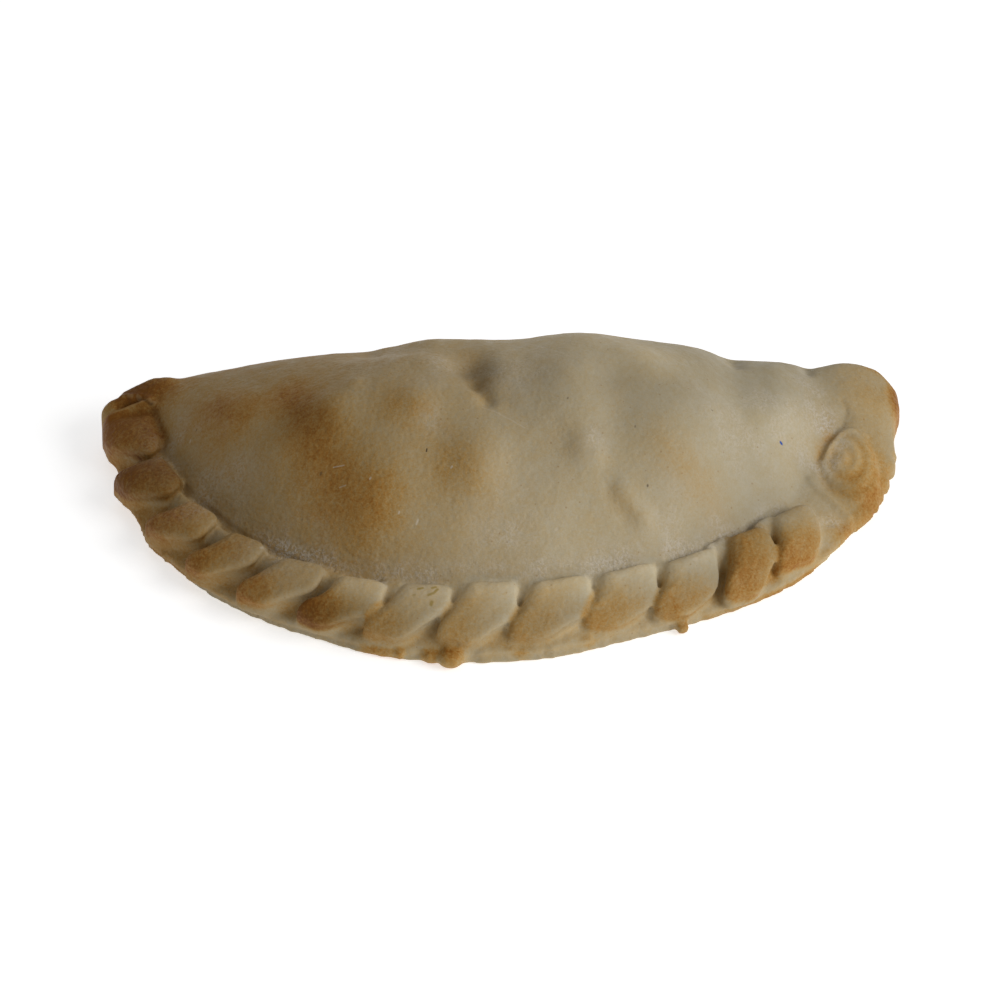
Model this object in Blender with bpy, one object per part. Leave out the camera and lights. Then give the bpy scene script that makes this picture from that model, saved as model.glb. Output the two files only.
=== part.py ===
"""Spinach empanada: a baked half-moon of dough, sealed by a rope of folds, as one solid.

The piece lies on its flat underside. X runs from the left tip to the right tip, the rope of
folds faces -Y, the smooth folded back faces +Y, and +Z is up. Sizes below are millimetres.
"""
import math

import bmesh
import bpy
import numpy as np

MM = 0.001

# Middle of the base's box in the drawing below: it becomes the origin.
BASE_MIDDLE = (0.05, -1.09)

# The rope follows an arc. Angles round its centre run from the left tip (about 190 degrees)
# by the front (270) to the right tip (about 350), and radii are measured from that centre.
SEAM_CENTRE = (-1.2, 33.6)

# Underside sheet: how far it reaches at each angle, and its thickness at the edge.
SHEET_REACH = ((188, 63.2), (193, 65.9), (205, 66.6), (222, 67.8), (245, 67.9), (268, 66.7),
               (288, 65.2), (306, 67.2), (325, 69.0), (338, 69.6), (348, 68.2), (354, 66.8))
SHEET_EDGE_HEIGHT = 1.3
SHEET_TOP = 3.0
SHEET_ROOT = 7.0
SHEET_STEPS = 84
SHEET_RAGGED = 0.22

# Filled dome: its front foot lies on an arc, its back is a rounded fold.
DOME_FOOT_RADIUS = 58.5
DOME_ENDS = (-58.6, 57.0)
DOME_FOOT_HEIGHT = 7.2
DOME_BOTTOM = 1.0
DOME_CREST = ((-58.6, 8.0), (-55.5, 11.0), (-50, 13.8), (-42, 17.0), (-34, 20.3), (-26, 22.9),
              (-17, 25.1), (-8, 26.6), (2, 27.2), (14, 28.2), (24, 25.8), (33, 22.2),
              (39, 17.2), (46, 15.4), (51, 12.2), (57.0, 8.6))
DOME_BACK = ((-58.6, 26.6), (-30, 28.4), (0, 29.1), (30, 29.9), (57.0, 31.0))
DOME_RIDGE = ((-58.6, 24.0), (-48, 14.0), (-38, 8.0), (-25, 4.2), (0, 2.6), (25, 4.2), (38, 8.0),
              (48, 15.0), (57.0, 24.0))
BACK_BULGE_HEIGHT = 8.0
BACK_UNDERCUT = 3.6
DOME_SECTIONS = 80
DOME_FRONT_POINTS = 17
DOME_BACK_POINTS = 13

# Swellings and hollows of the dome: place in plan, radius, height.
DOME_LUMPS = (
    (-21.0, 4.0, 10.0, 1.2),
    (-27.0, 1.4, 4.6, 0.9),
    (-19.5, -11.4, 6.2, 1.1),
    (-13.2, -0.8, 3.8, 0.9),
    (-3.2, -9.4, 4.6, 1.7),
    (-43.0, 9.4, 4.8, 0.8),
    (9.5, 2.4, 6.0, 1.1),
    (-9.0, 14.5, 7.0, 1.1),
    (13.0, 14.5, 8.0, 0.9),
    (25.0, 11.0, 7.0, 0.5),
    (45.2, 16.5, 5.4, 1.7),
    (30.0, -6.4, 9.0, 1.4),
    (12.8, -6.6, 2.6, 1.0),
    (9.2, -8.0, 2.8, -0.6),
    (-36.0, 26.0, 9.0, 0.5),
    (2.0, 30.0, 7.0, -0.6),
    (29.0, 27.0, 9.0, 0.4),
)
# Creases of the dome: the line they follow in plan, half width, depth.
DOME_CREASES = (
    (((-20.5, 16.0), (-13.5, 11.5), (-8.2, 7.0), (-5.0, 1.5)), 3.2, 2.2),
    (((18.6, -11.2), (23.6, -13.2)), 1.5, 0.6),
    (((38.4, 20.5), (40.4, 12.0)), 2.8, 1.0),
    (((50.2, 26.0), (50.6, 18.0)), 2.4, 0.9),
)

# Folds of the rope. Each is a flap turned over the edge, so it is a pillow that starts
# at the dome and slants to the left as it goes out.
FOLD_COUNT = 13
FOLD_FIRST_ANGLE = 199.5
FOLD_PITCH = 10.2
FOLD_INNER_RADIUS = 58.6
FOLD_OVERHANG = 0.4
FOLD_WIDTH = 9.0
FOLD_SLANT = 5.2
FOLD_TOP = 9.0
FOLD_END_HEIGHT = 3.5
FOLD_BOTTOM = 1.9
# Hand work: what each fold adds to its angle, slant, width, inner radius and height.
FOLD_HABITS = (
    (-2.4, -2.4, 0.3, -0.4, 0.6),
    (-0.4, -2.2, -0.3, 0.6, 0.2),
    (0.3, -2.0, -0.2, 1.1, 0.1),
    (0.0, -1.6, -0.2, 0.9, 0.1),
    (-0.1, -1.2, 0.1, 0.6, 0.0),
    (-0.5, 0.1, 0.3, 0.6, 0.0),
    (-0.8, 0.1, -0.2, -0.6, 0.0),
    (-0.8, 0.4, 0.0, -1.3, 0.1),
    (-0.4, 1.4, 0.6, -1.6, 0.2),
    (0.2, 1.6, 0.4, -0.8, 0.1),
    (0.2, 2.0, 0.6, 0.3, 0.1),
    (0.2, 2.0, -0.9, 1.1, 0.3),
    (-1.2, 0.7, -0.2, 1.8, 0.2),
)
FOLD_RINGS = (0.0, 0.12, 0.28, 0.45, 0.6, 0.74, 0.86, 0.95, 1.0)
# Cross-section of a fold: place across it in half widths, share of its height.
FOLD_SECTION = ((-1.2, 0.0), (-1.1, 0.34), (-0.95, 0.7), (-0.68, 0.92), (-0.3, 1.0), (0.15, 0.99),
                (0.55, 0.93), (0.84, 0.8), (1.0, 0.6), (0.96, 0.36), (0.86, 0.2), (0.84, 0.0))

# Right end of the rope: a flat last fold, the coiled knob and the flap behind it.
LAST_WEB_ANGLE = 329.5
LAST_WEB_WIDTH = 13.0
LAST_WEB_REACH = (56.5, 67.8)
LAST_WEB_TOP = 7.8
KNOB_PLACE = (57.3, 8.3)
KNOB_RADII = (5.0, 6.6)
KNOB_TOP = 9.2
KNOB_SIDES = 20
RIGHT_FLAP_PLACE = (55.6, 25.2)
RIGHT_FLAP_RADII = (11.0, 8.6)
RIGHT_FLAP_TOP = 9.9

# Left end: the torn flap above the first fold.
LEFT_FLAP_PLACE = (-57.4, 20.4)
LEFT_FLAP_RADII = (6.4, 5.2)
LEFT_FLAP_TOP = 11.0

# Baked drips on the front edge: angle, radius from the centre, drip radius, height.
DRIPS = ((264.9, 67.7, 2.2, 2.9), (274.3, 66.2, 1.5, 2.2), (296.6, 66.5, 1.0, 1.9))

CRUST_COLOUR = (0.42, 0.32, 0.19, 1.0)
CRUST_ROUGHNESS = 0.62


def clear_scene():
    """Remove every object that the file starts with."""
    for item in list(bpy.data.objects):
        bpy.data.objects.remove(item, do_unlink=True)


def crust_material():
    """Pale baked dough."""
    material = bpy.data.materials.new("crust")
    material.use_nodes = True
    shader = material.node_tree.nodes["Principled BSDF"]
    shader.inputs["Base Color"].default_value = CRUST_COLOUR
    shader.inputs["Roughness"].default_value = CRUST_ROUGHNESS
    shader.inputs["Metallic"].default_value = 0.0
    return material


def smooth_lookup(keys, place):
    """Value at a place along hand-set keys, with rounded joins between them."""
    places = np.array([key[0] for key in keys], dtype=float)
    values = np.array([key[1] for key in keys], dtype=float)
    slopes = np.gradient(values, places)
    place = np.clip(place, places[0], places[-1])
    span = np.clip(np.searchsorted(places, place) - 1, 0, len(places) - 2)
    width = places[span + 1] - places[span]
    share = (place - places[span]) / width
    start = (1 + 2 * share) * (1 - share) ** 2 * values[span]
    start_slope = share * (1 - share) ** 2 * width * slopes[span]
    end = share ** 2 * (3 - 2 * share) * values[span + 1]
    end_slope = share ** 2 * (share - 1) * width * slopes[span + 1]
    return start + start_slope + end + end_slope


def seam_point(angle, radius, height):
    """Point at an angle, in degrees, and a radius round the seam's centre."""
    turn = math.radians(angle)
    return (SEAM_CENTRE[0] + radius * math.cos(turn), SEAM_CENTRE[1] + radius * math.sin(turn), height)


def add_object(name, vertices, faces):
    """Mesh object from points in millimetres."""
    mesh = bpy.data.meshes.new(name)
    origin = (BASE_MIDDLE[0], BASE_MIDDLE[1], 0.0)
    points = [tuple(MM * (float(value) - zero) for value, zero in zip(point, origin)) for point in vertices]
    mesh.from_pydata(points, [], faces)
    mesh.validate()
    item = bpy.data.objects.new(name, mesh)
    bpy.context.scene.collection.objects.link(item)
    return item


def loft(name, rings):
    """Closed body through rings of equally many points, with a flat face at each end."""
    count = len(rings[0])
    vertices = [point for ring in rings for point in ring]
    faces = []
    for row in range(len(rings) - 1):
        for column in range(count):
            after = (column + 1) % count
            faces.append((row * count + column, row * count + after,
                          (row + 1) * count + after, (row + 1) * count + column))
    faces.append(tuple(range(count - 1, -1, -1)))
    faces.append(tuple(range((len(rings) - 1) * count, len(rings) * count)))
    item = add_object(name, vertices, faces)
    face_outwards(item)
    return item


def face_outwards(item):
    """Turn all faces of a closed body to the outside."""
    shape = bmesh.new()
    shape.from_mesh(item.data)
    bmesh.ops.recalc_face_normals(shape, faces=shape.faces)
    shape.to_mesh(item.data)
    shape.free()


def distance_to_line(place, start, end):
    """Distance in plan from points to a straight stretch."""
    start = np.array(start)
    along = np.array(end) - start
    share = np.clip((place - start) @ along / (along @ along), 0, 1)
    return np.linalg.norm(place - start - share[:, None] * along, axis=1)


def dome_relief(place):
    """Height that the lumps and creases add at points of the plan."""
    relief = np.zeros(len(place))
    for x, y, radius, height in DOME_LUMPS:
        distance = np.hypot(place[:, 0] - x, place[:, 1] - y)
        relief += height * np.exp(-(distance / radius) ** 2)
    for line, width, depth in DOME_CREASES:
        stretches = zip(line[:-1], line[1:])
        distance = np.min([distance_to_line(place, *stretch) for stretch in stretches], axis=0)
        relief -= depth * np.exp(-(distance / width) ** 2)
    return relief


def dome_section(x):
    """Closed outline of the dome where it is cut across at x."""
    across = np.clip(abs(x - SEAM_CENTRE[0]), 0, DOME_FOOT_RADIUS - 0.05)
    front = SEAM_CENTRE[1] - math.sqrt(DOME_FOOT_RADIUS ** 2 - across ** 2)
    back = float(smooth_lookup(DOME_BACK, x))
    ridge = max(float(smooth_lookup(DOME_RIDGE, x)), front + 0.4)
    crest = float(smooth_lookup(DOME_CREST, x))
    bulge = min(BACK_BULGE_HEIGHT, 0.6 * crest)
    out = np.linspace(1, 0, DOME_FRONT_POINTS)
    slope = 0.6 * (1 - out ** 2) + 0.4 * np.cos(0.5 * math.pi * out) ** 2
    front_y = ridge + (front - ridge) * out
    front_z = DOME_FOOT_HEIGHT + (crest - DOME_FOOT_HEIGHT) * slope
    turn = np.linspace(0, 0.5 * math.pi, DOME_BACK_POINTS)[1:]
    back_y = ridge + (back - ridge) * np.sin(turn)
    back_z = bulge + (crest - bulge) * np.cos(turn)
    under_turn = np.linspace(0, 0.5 * math.pi, 5)[1:]
    undercut = min(BACK_UNDERCUT, 0.6 * (back - ridge))
    under_y = back - undercut * (1 - np.cos(under_turn))
    under_z = bulge - (bulge - DOME_BOTTOM) * np.sin(under_turn)
    y = np.concatenate([front_y, back_y, under_y])
    z = np.concatenate([front_z, back_z, under_z])
    place = np.column_stack([np.full(len(y), x), y])
    middle = np.array([0.5 * (front + back), 0.3 * crest])
    outward = np.column_stack([y - middle[0], z - middle[1]])
    outward /= np.linalg.norm(outward, axis=1)[:, None] + 1e-9
    share = np.clip((z - DOME_FOOT_HEIGHT) / 5.0, 0, 1)
    relief = dome_relief(place) * share
    y = y + outward[:, 0] * relief
    z = z + outward[:, 1] * relief
    foot = [(x, front, DOME_BOTTOM)]
    return foot + [(x, float(a), float(b)) for a, b in zip(y, z)]


def make_dome():
    """Filled middle: sections along X, closer together towards the tips."""
    middle = 0.5 * (DOME_ENDS[0] + DOME_ENDS[1])
    half = 0.5 * (DOME_ENDS[1] - DOME_ENDS[0])
    even = np.linspace(-1, 1, DOME_SECTIONS)
    bunched = np.sin(0.5 * math.pi * even)
    return loft("dome", [dome_section(middle + half * place) for place in 0.5 * (even + bunched)])


def sheet_reach(angle):
    """Ragged reach of the underside sheet at an angle."""
    ripple = math.sin(angle * 1.9) + 0.7 * math.sin(angle * 3.3 + 1.0)
    return float(smooth_lookup(SHEET_REACH, angle)) + SHEET_RAGGED * ripple


def sheet_outline(inset):
    """Half-moon outline: the arc of the seam, then the back from right to left."""
    first = SHEET_REACH[0][0]
    last = SHEET_REACH[-1][0]
    points = []
    for angle in np.linspace(first, last, SHEET_STEPS):
        points.append(seam_point(angle, sheet_reach(angle) - inset, 0)[:2])
    left = points[0][0] + 4.0
    right = points[-1][0] - 4.0
    for x in np.linspace(right, left, 16):
        back = float(smooth_lookup(DOME_BACK, x)) - BACK_UNDERCUT - 0.9
        points.append((float(x), back - inset))
    return points


def make_sheet():
    """Flat underside with its thin edge, which shows past the folds."""
    rise = SHEET_ROOT - SHEET_TOP
    levels = ((0.55, 0.0), (0.0, SHEET_EDGE_HEIGHT), (0.7, SHEET_TOP - 0.3), (2.4, SHEET_TOP),
              (5.2, SHEET_TOP + 0.25 * rise), (7.6, SHEET_TOP + 0.65 * rise), (9.6, SHEET_ROOT))
    rings = [[(x, y, height) for x, y in sheet_outline(inset)] for inset, height in levels]
    return loft("sheet", rings)


def fold_ring(angle, radius, half_width, bottom, top, section=FOLD_SECTION):
    """Cross-section of a flap that crosses the seam at an angle and a radius."""
    ring = []
    for across, share in section:
        turn = math.degrees(across * half_width / radius)
        ring.append(seam_point(angle + turn, radius, bottom + (top - bottom) * share))
    return ring


def make_fold(index):
    """One flap of the rope: high at the dome, rounded down to its turned outer end."""
    turn, slant, width, inner, height = FOLD_HABITS[index]
    start_angle = FOLD_FIRST_ANGLE + index * FOLD_PITCH + turn
    end_angle = start_angle - FOLD_SLANT - slant
    start = FOLD_INNER_RADIUS + inner
    end = sheet_reach(end_angle) + FOLD_OVERHANG
    half = 0.5 * (FOLD_WIDTH + width)
    top = FOLD_TOP + height
    rings = []
    for share in FOLD_RINGS:
        lean = share ** 1.3
        angle = start_angle + (end_angle - start_angle) * lean
        droop = (1 - share ** 2.2) ** 0.62
        taper = 1 - 0.42 * max(0.0, (share - 0.68) / 0.32) ** 2
        ring_top = FOLD_END_HEIGHT + (top - FOLD_END_HEIGHT) * droop
        rings.append(fold_ring(angle, start + (end - start) * share, half * taper, FOLD_BOTTOM, ring_top))
    return loft("fold", rings)


def make_last_web():
    """Flat pale fold between the rope and the knob."""
    section = ((-1.0, 0.0), (-0.95, 0.6), (-0.6, 0.9), (0.0, 1.0), (0.6, 0.96), (1.0, 0.7), (1.02, 0.0))
    rings = []
    for share in (0.0, 0.25, 0.5, 0.72, 0.88, 0.98):
        radius = LAST_WEB_REACH[0] + (LAST_WEB_REACH[1] - LAST_WEB_REACH[0]) * share
        low = SHEET_TOP - 0.6
        top = low + (LAST_WEB_TOP - low) * (1 - share ** 1.6) ** 0.8
        angle = LAST_WEB_ANGLE - 3.0 * share
        rings.append(fold_ring(angle, radius, 0.5 * LAST_WEB_WIDTH, FOLD_BOTTOM, top, section))
    return loft("last_web", rings)


def mound(name, place, radii, bottom, top, sides, levels):
    """Round cushion: rings of the given share of the radii at the given share of the height."""
    rings = []
    for reach, rise in levels:
        ring = []
        for step in range(sides):
            turn = 2 * math.pi * step / sides
            x = place[0] + radii[0] * reach * math.cos(turn)
            y = place[1] + radii[1] * reach * math.sin(turn)
            ring.append((x, y, bottom + (top - bottom) * rise))
        rings.append(ring)
    return loft(name, rings)


def make_knob():
    """Coiled knob that ends the rope on the right."""
    levels = ((0.98, 0.0), (1.04, 0.35), (1.0, 0.68), (0.88, 0.88), (0.64, 0.97), (0.3, 1.0))
    return mound("knob", KNOB_PLACE, KNOB_RADII, SHEET_EDGE_HEIGHT, KNOB_TOP, KNOB_SIDES, levels)


def make_right_flap():
    """Flat flap that closes the right tip behind the knob."""
    levels = ((0.82, 0.0), (0.97, 0.2), (1.0, 0.42), (0.93, 0.67), (0.76, 0.87), (0.5, 0.96), (0.2, 1.0))
    return mound("right_flap", RIGHT_FLAP_PLACE, RIGHT_FLAP_RADII, SHEET_EDGE_HEIGHT, RIGHT_FLAP_TOP, 26, levels)


def make_left_flap():
    """Torn flap above the first fold."""
    levels = ((0.92, 0.0), (1.0, 0.3), (0.98, 0.6), (0.88, 0.86), (0.6, 0.96), (0.25, 1.0))
    return mound("left_flap", LEFT_FLAP_PLACE, LEFT_FLAP_RADII, SHEET_EDGE_HEIGHT, LEFT_FLAP_TOP, 20, levels)


def make_drip(angle, radius, size, height):
    """Small baked drip at the foot of the rope."""
    x, y, _ = seam_point(angle, radius, 0)
    levels = ((0.7, 0.0), (1.0, 0.3), (1.0, 0.6), (0.7, 0.9), (0.25, 1.0))
    return mound("drip", (x, y), (size, size), 0.25, height, 10, levels)


def fuse(name, pieces, material):
    """Join closed pieces into one solid with one union on a collection."""
    body = pieces[0]
    body.name = name
    group = bpy.data.collections.new("joined")
    bpy.context.scene.collection.children.link(group)
    for piece in pieces[1:]:
        bpy.context.scene.collection.objects.unlink(piece)
        group.objects.link(piece)
    union = body.modifiers.new("union", "BOOLEAN")
    union.operation = "UNION"
    union.operand_type = "COLLECTION"
    union.collection = group
    union.solver = "EXACT"
    bpy.context.view_layer.update()
    evaluated = body.evaluated_get(bpy.context.evaluated_depsgraph_get())
    mesh = bpy.data.meshes.new_from_object(evaluated)
    body.modifiers.remove(union)
    body.data = mesh
    for piece in pieces[1:]:
        bpy.data.objects.remove(piece, do_unlink=True)
    bpy.data.collections.remove(group)
    body.data.materials.clear()
    body.data.materials.append(material)
    return body


def main():
    """Model the empanada."""
    clear_scene()
    pieces = [make_dome(), make_sheet()]
    pieces += [make_fold(index) for index in range(FOLD_COUNT)]
    pieces += [make_last_web(), make_knob(), make_right_flap(), make_left_flap()]
    pieces += [make_drip(*drip) for drip in DRIPS]
    empanada = fuse("empanada", pieces, crust_material())
    empanada.data.shade_smooth()
    empanada.data.set_sharp_from_angle(angle=math.radians(40))


main()
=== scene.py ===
"""Looks of a baked spinach empanada: a dough half-moon with a rope of folds, a knob and browned spots.

Shapes are drawn in millimetres, in the drawing of the part's source: X runs from the left tip to the
right tip, the rope faces -Y and Z is up. Angles run round the seam's centre, from the left tip (about
190 degrees) by the front (270) to the right tip (about 350), and radii are measured from that centre.
"""
import itertools
import math

import bpy
import numpy as np
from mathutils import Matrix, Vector


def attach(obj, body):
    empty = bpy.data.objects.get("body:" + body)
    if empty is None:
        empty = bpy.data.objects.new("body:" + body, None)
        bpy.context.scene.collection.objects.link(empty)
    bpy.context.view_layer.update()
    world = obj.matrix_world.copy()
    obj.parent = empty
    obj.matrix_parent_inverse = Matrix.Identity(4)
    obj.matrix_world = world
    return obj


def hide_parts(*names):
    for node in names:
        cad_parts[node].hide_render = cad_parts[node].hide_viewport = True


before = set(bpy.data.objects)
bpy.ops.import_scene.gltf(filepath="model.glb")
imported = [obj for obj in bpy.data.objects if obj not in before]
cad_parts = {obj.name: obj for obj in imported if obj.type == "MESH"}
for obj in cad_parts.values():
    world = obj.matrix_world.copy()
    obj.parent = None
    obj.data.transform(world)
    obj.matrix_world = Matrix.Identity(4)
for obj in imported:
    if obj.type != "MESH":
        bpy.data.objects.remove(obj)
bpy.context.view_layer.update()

MM = 0.001

# Middle of the base's box in the drawing, which is the part's origin.
BASE_MIDDLE = (0.05, -1.09, 0.0)
SEAM_CENTRE = (-1.2, 33.6)

# Cell size of the remesh that melts the pieces of dough together.
VOXEL = 0.4
SMOOTHING_STEPS = 2
SMOOTHING_FACTOR = 0.5
# How often browning and hollowness are averaged with their neighbours.
BROWNING_SPREAD = 2
HOLLOW_SPREAD = 3

# Numbers that scramble a grid cell and a seed into noise.
CELL_FACTORS = (73856093, 19349663, 83492791)
SEED_FACTOR = 2654435
MIXING_FACTOR = 1274126177
NOISE_HALF_RANGE = 32767.5

# Underside sheet. The upper layer ends a little before the lower one along the front.
SHEET_REACH = ((188, 63.2), (192.5, 65.6), (198.4, 65.1), (204, 66), (209.5, 66.3), (216, 67.9),
               (222, 67.6), (232, 67.8), (240, 67.4), (246, 67.1), (254, 67.5), (262, 67.1), (268, 66.9),
               (279, 66.3), (288, 65.3), (296, 65.5), (306, 66.9), (316, 68.3), (325, 68.3),
               (331, 68.6), (335, 69.4), (339, 68.9), (342.5, 69.6), (348, 68), (354, 66.6))
SHEET_STEPS = 640
SHEET_BACK_STEPS = 90
# How far in from the tips their back edge starts, and how far inside the dome's undercut it lies.
SHEET_CORNER = 4
SHEET_TUCK = 0.9
LOWER_SHOWS = ((188, 0), (240, 0), (254, 0.3), (270, 0.5), (286, 0.5), (294, 0.2), (304, 0),
               (354, 0))
# Angle, half width in degrees and depth of the stretches with a ragged, crumbly edge.
RAGGED = ((219, 5, 0.3), (234, 4, 0.25), (275, 9, 0.15), (334, 7, 0.4), (342, 3, 0.6))
# Depth, size and seed of its tears, how much of them the upper layer has, and the edge's length per degree.
RAGGED_GRAIN = ((1, 0.7, 3), (0.6, 0.3, 4))
RAGGED_UPPER = 0.5
EDGE_PER_DEGREE = 1.17
# Teeth of the right end: angle, half width in degrees and depth.
SHEET_NOTCHES = ((343, 0.45, 0.6), (339.8, 0.6, 0.9), (336.7, 0.4, 0.6), (334.5, 0.4, 0.6),
                 (332.6, 0.4, 0.5))
# Waves of the edge: height, turn in radians per degree, start.
SHEET_RIPPLES = ((0.07, 1.9, 0), (0.049, 3.3, 1))
# Edge of each layer, from its underside to its top: how far in, height.
LOWER_LEVELS = ((0.6, 0), (0.1, 0.1), (0, 0.35), (0.15, 0.6), (0.6, 0.72), (4, 0.8))
UPPER_LEVELS = ((2.2, 0.7), (0.9, 1), (0.15, 1.3), (0, 1.7), (0.15, 2.1), (0.7, 2.35), (1.9, 2.6),
                (4.6, 3.3), (7.2, 5.2), (9.6, 7))

# Filled dome: its front foot lies on an arc, its back is a rounded fold.
DOME_FOOT_RADIUS = 58.5
DOME_ENDS = (-58.6, 57)
DOME_FOOT_HEIGHT = 7.2
DOME_BOTTOM = 1
DOME_CREST = ((-58.6, 8), (-55.5, 11), (-50, 13.8), (-42, 17), (-34, 20.3), (-26, 22.9),
              (-17, 25.4), (-8, 26.9), (2, 27.4), (14, 28.2), (24, 25.6), (33, 22),
              (38.5, 17.8), (42, 16.6), (46, 15.5), (51, 12.3), (57, 8.6))
DOME_BACK = ((-58.6, 25), (-56, 26.3), (-50, 27.3), (-30, 28.4), (0, 29.1), (30, 29.9), (57, 31))
DOME_RIDGE = ((-58.6, 24), (-48, 14), (-38, 8), (-25, 4.2), (0, 2.6), (25, 4.2), (38, 8),
              (48, 15), (57, 24))
BACK_BULGE_HEIGHT = 8
BACK_UNDERCUT = 3.6
# Both stay within this share of the crest's height and of the back's depth.
BACK_LIMIT = 0.6
# The foot's arc stops this far short of its half circle, and the ridge stays this far behind the foot.
TIP_GAP = 0.05
RIDGE_GAP = 0.4
# Share of a parabola in the front slope; the rest is a cosine.
SLOPE_MIX = 0.6
# Relief points away from this share of the crest's height, and fades in over this height.
DOME_HEART = 0.3
RELIEF_FADE = 5
DOME_SECTIONS = 300
DOME_FRONT_POINTS = 130
DOME_BACK_POINTS = 70
DOME_UNDER_POINTS = 12

# Swellings and hollows of the dome: place in plan, radius, height.
DOME_LUMPS = (
    (-21, 4, 10, 1.2),
    (-27, 1.4, 4.6, 0.9),
    (-19.5, -11.4, 6.2, 1.1),
    (-13.2, -0.8, 3.8, 0.9),
    (-3.2, -9.4, 4.6, 1.7),
    (-43, 9.4, 4.8, 0.8),
    (9.8, 1.6, 6.5, 0.85),
    (-9, 14.5, 7, 1.1),
    (13, 14.5, 8, 0.9),
    (25, 11, 7, 0.5),
    (45.2, 22, 3, 0.3),
    (28, -6, 7.5, 1.9),
    (18.6, -3.4, 3.8, -0.6),
    (17, 3.8, 4.2, -0.8),
    (10.6, 3.6, 5, 0.25),
    (23.6, 8.6, 3.6, 0.35),
    (-12.5, 19, 5, 0.4),
    (13.4, -8.2, 2.2, 0.75),
    (8.6, -7, 2.8, -0.35),
    (15.2, -8.8, 1.1, 0.4),
    (-0.4, 9.6, 3, 0.45),
    (1.2, 4.4, 3, 0.35),
    (22.3, 11, 5, 0.4),
    (-36, 26, 9, 0.5),
    (2, 30, 7, -0.6),
    (29, 27, 9, 0.4),
    (-23.2, 5.6, 1.5, 0.5),
)
# Creases of the dome: the line they follow in plan, half width, depth.
DOME_CREASES = (
    (((-22, 19.6), (-14, 15.6), (-8, 13), (-5, 11.5)), 3.4, 0.9),
    (((-7, 15.5), (-5.2, 8.6)), 3.8, 0.9),
    (((-5.2, 8.6), (-3.8, 4.2)), 2.6, 1.1),
    (((-3.8, 4.2), (-2, -0.9)), 1.2, 1.1),
    (((19.6, -11.8), (22.4, -13.4)), 1.7, -0.6),
    (((17, -12.2), (19.6, -14.4)), 1.3, 0.2),
    (((0, -1.4), (4.8, -4.8)), 1.2, 0.12),
)

# Folds of the rope. Corners as angle and radius: at the dome left and right, middle of the right
# edge, outer end right and left. Then the height, and by how many degrees the left side is hollow.
FOLDS = (
    (((195.4, 57.1), (203.4, 58.6), (204.8, 61.2), (198.4, 66.7), (192.4, 66.5)), 9.6, 0.2),
    (((205.1, 59), (213, 59.2), (214.2, 62.8), (209.2, 67.6), (203.6, 68)), 9.2, 0.3),
    (((216.9, 60), (223.9, 59.6), (224.4, 65.2), (218.6, 68.3), (214.6, 68.6)), 9.1, 0.6),
    (((227, 59.9), (233.7, 59.4), (234, 64.4), (228.8, 69), (224.3, 69)), 9.1, 0.6),
    (((236.9, 59.6), (244.1, 58.8), (244.6, 64.1), (238.4, 68.8), (233.3, 68.6)), 9, 0.3),
    (((246.4, 59.2), (254, 59.1), (254.2, 64.8), (247, 68.3), (242.3, 67.4)), 9, 1.2),
    (((256.2, 58), (263.8, 57.7), (263.9, 62.4), (258, 67.5), (251.8, 66.9)), 9, 0.7),
    (((266.2, 56.5), (274.1, 57.4), (273.3, 63.3), (267.6, 66.7), (261.9, 65.9)), 9.5, 0.2),
    (((276.3, 56.9), (285.4, 57.7), (284, 63.5), (277.2, 65.9), (271.8, 65.1)), 9.6, 0.3),
    (((287, 57.2), (296, 58.2), (293.8, 64.1), (287.6, 65.5), (282.4, 64.3)), 9.5, 0.4),
    (((297.1, 58.2), (306.1, 59.6), (303, 65.6), (297.2, 66.8), (292.5, 65.1)), 9.1, 0.6),
    (((308.8, 58.8), (314.9, 61), (313.4, 65.8), (307.8, 69), (302.6, 67.2)), 9.4, 0.6),
    (((316.6, 60.2), (324.4, 61.9), (322.6, 66.8), (318.6, 69.2), (311.8, 67.6)), 9.2, 0.6),
)
# A fold's height falls to its end height this far past its outer end, along a curve with two powers.
FOLD_REACH = 0.7
FOLD_DROOP = (2.2, 0.62)
# Shares of the way out between which a fold's spine runs, and where its left side is hollow.
FOLD_SPINE = (0.36, 0.68)
LEFT_MIDDLE = 0.45
FOLD_END_HEIGHTS = (4.8, 4.8, 4.8, 4.6, 4.1, 3.6, 3.4, 3.3, 3.2, 3.2, 3.2, 3.5, 3.8)
FOLD_BOTTOM = 1.8
# How far the corners and the middles of the right edge and of the left one are rounded, in that order.
FOLD_CORNER_CUTS = (2.7, 2.4, 3, 3.2, 3.4, 2.6)
# How far rounded corners are pulled back out, and the largest share of a side that one takes.
CORNER_PULL = 0.3
CORNER_LIMIT = 0.48
CORNER_POINTS = 9
# How much of a lip each edge has: inner edge, upper right, lower right, outer end, left side twice.
FOLD_LIPS = (0.3, 1, 1, 0.65, 0, 0)
# Edge of a pad of dough, from the foot to the top: how far in from the outline, drop from the top.
SOFT_EDGE = ((-0.6, 6), (-0.45, 4.2), (-0.2, 3), (0.05, 2.1), (0.4, 1.3), (0.85, 0.75), (1.4, 0.36),
             (2.6, 0))
LIP_EDGE = ((0.8, 6), (0.62, 3.4), (0.4, 2), (0, 1.4), (-0.04, 0.9), (0.2, 0.5), (0.8, 0.28),
            (2.8, 0))
# How much of the way to its spine a pad's edge may take, and the rings that fill the rest.
PAD_ROOM = 0.9
PAD_FILL = (0.25, 0.5, 0.75, 0.97)
PAD_POINTS = 160
TORN_PAD_POINTS = 420
PAD_STEPS = 26

# Webs: tongues of dough in the gaps between folds. Share of the way out, top.
WEB_PROFILE = ((0, 8.4), (0.15, 8.1), (0.3, 7.35), (0.45, 6.1), (0.6, 4.8), (0.78, 3.5), (0.9, 2.8),
               (0.97, 2.3), (1, 1.8))
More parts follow.
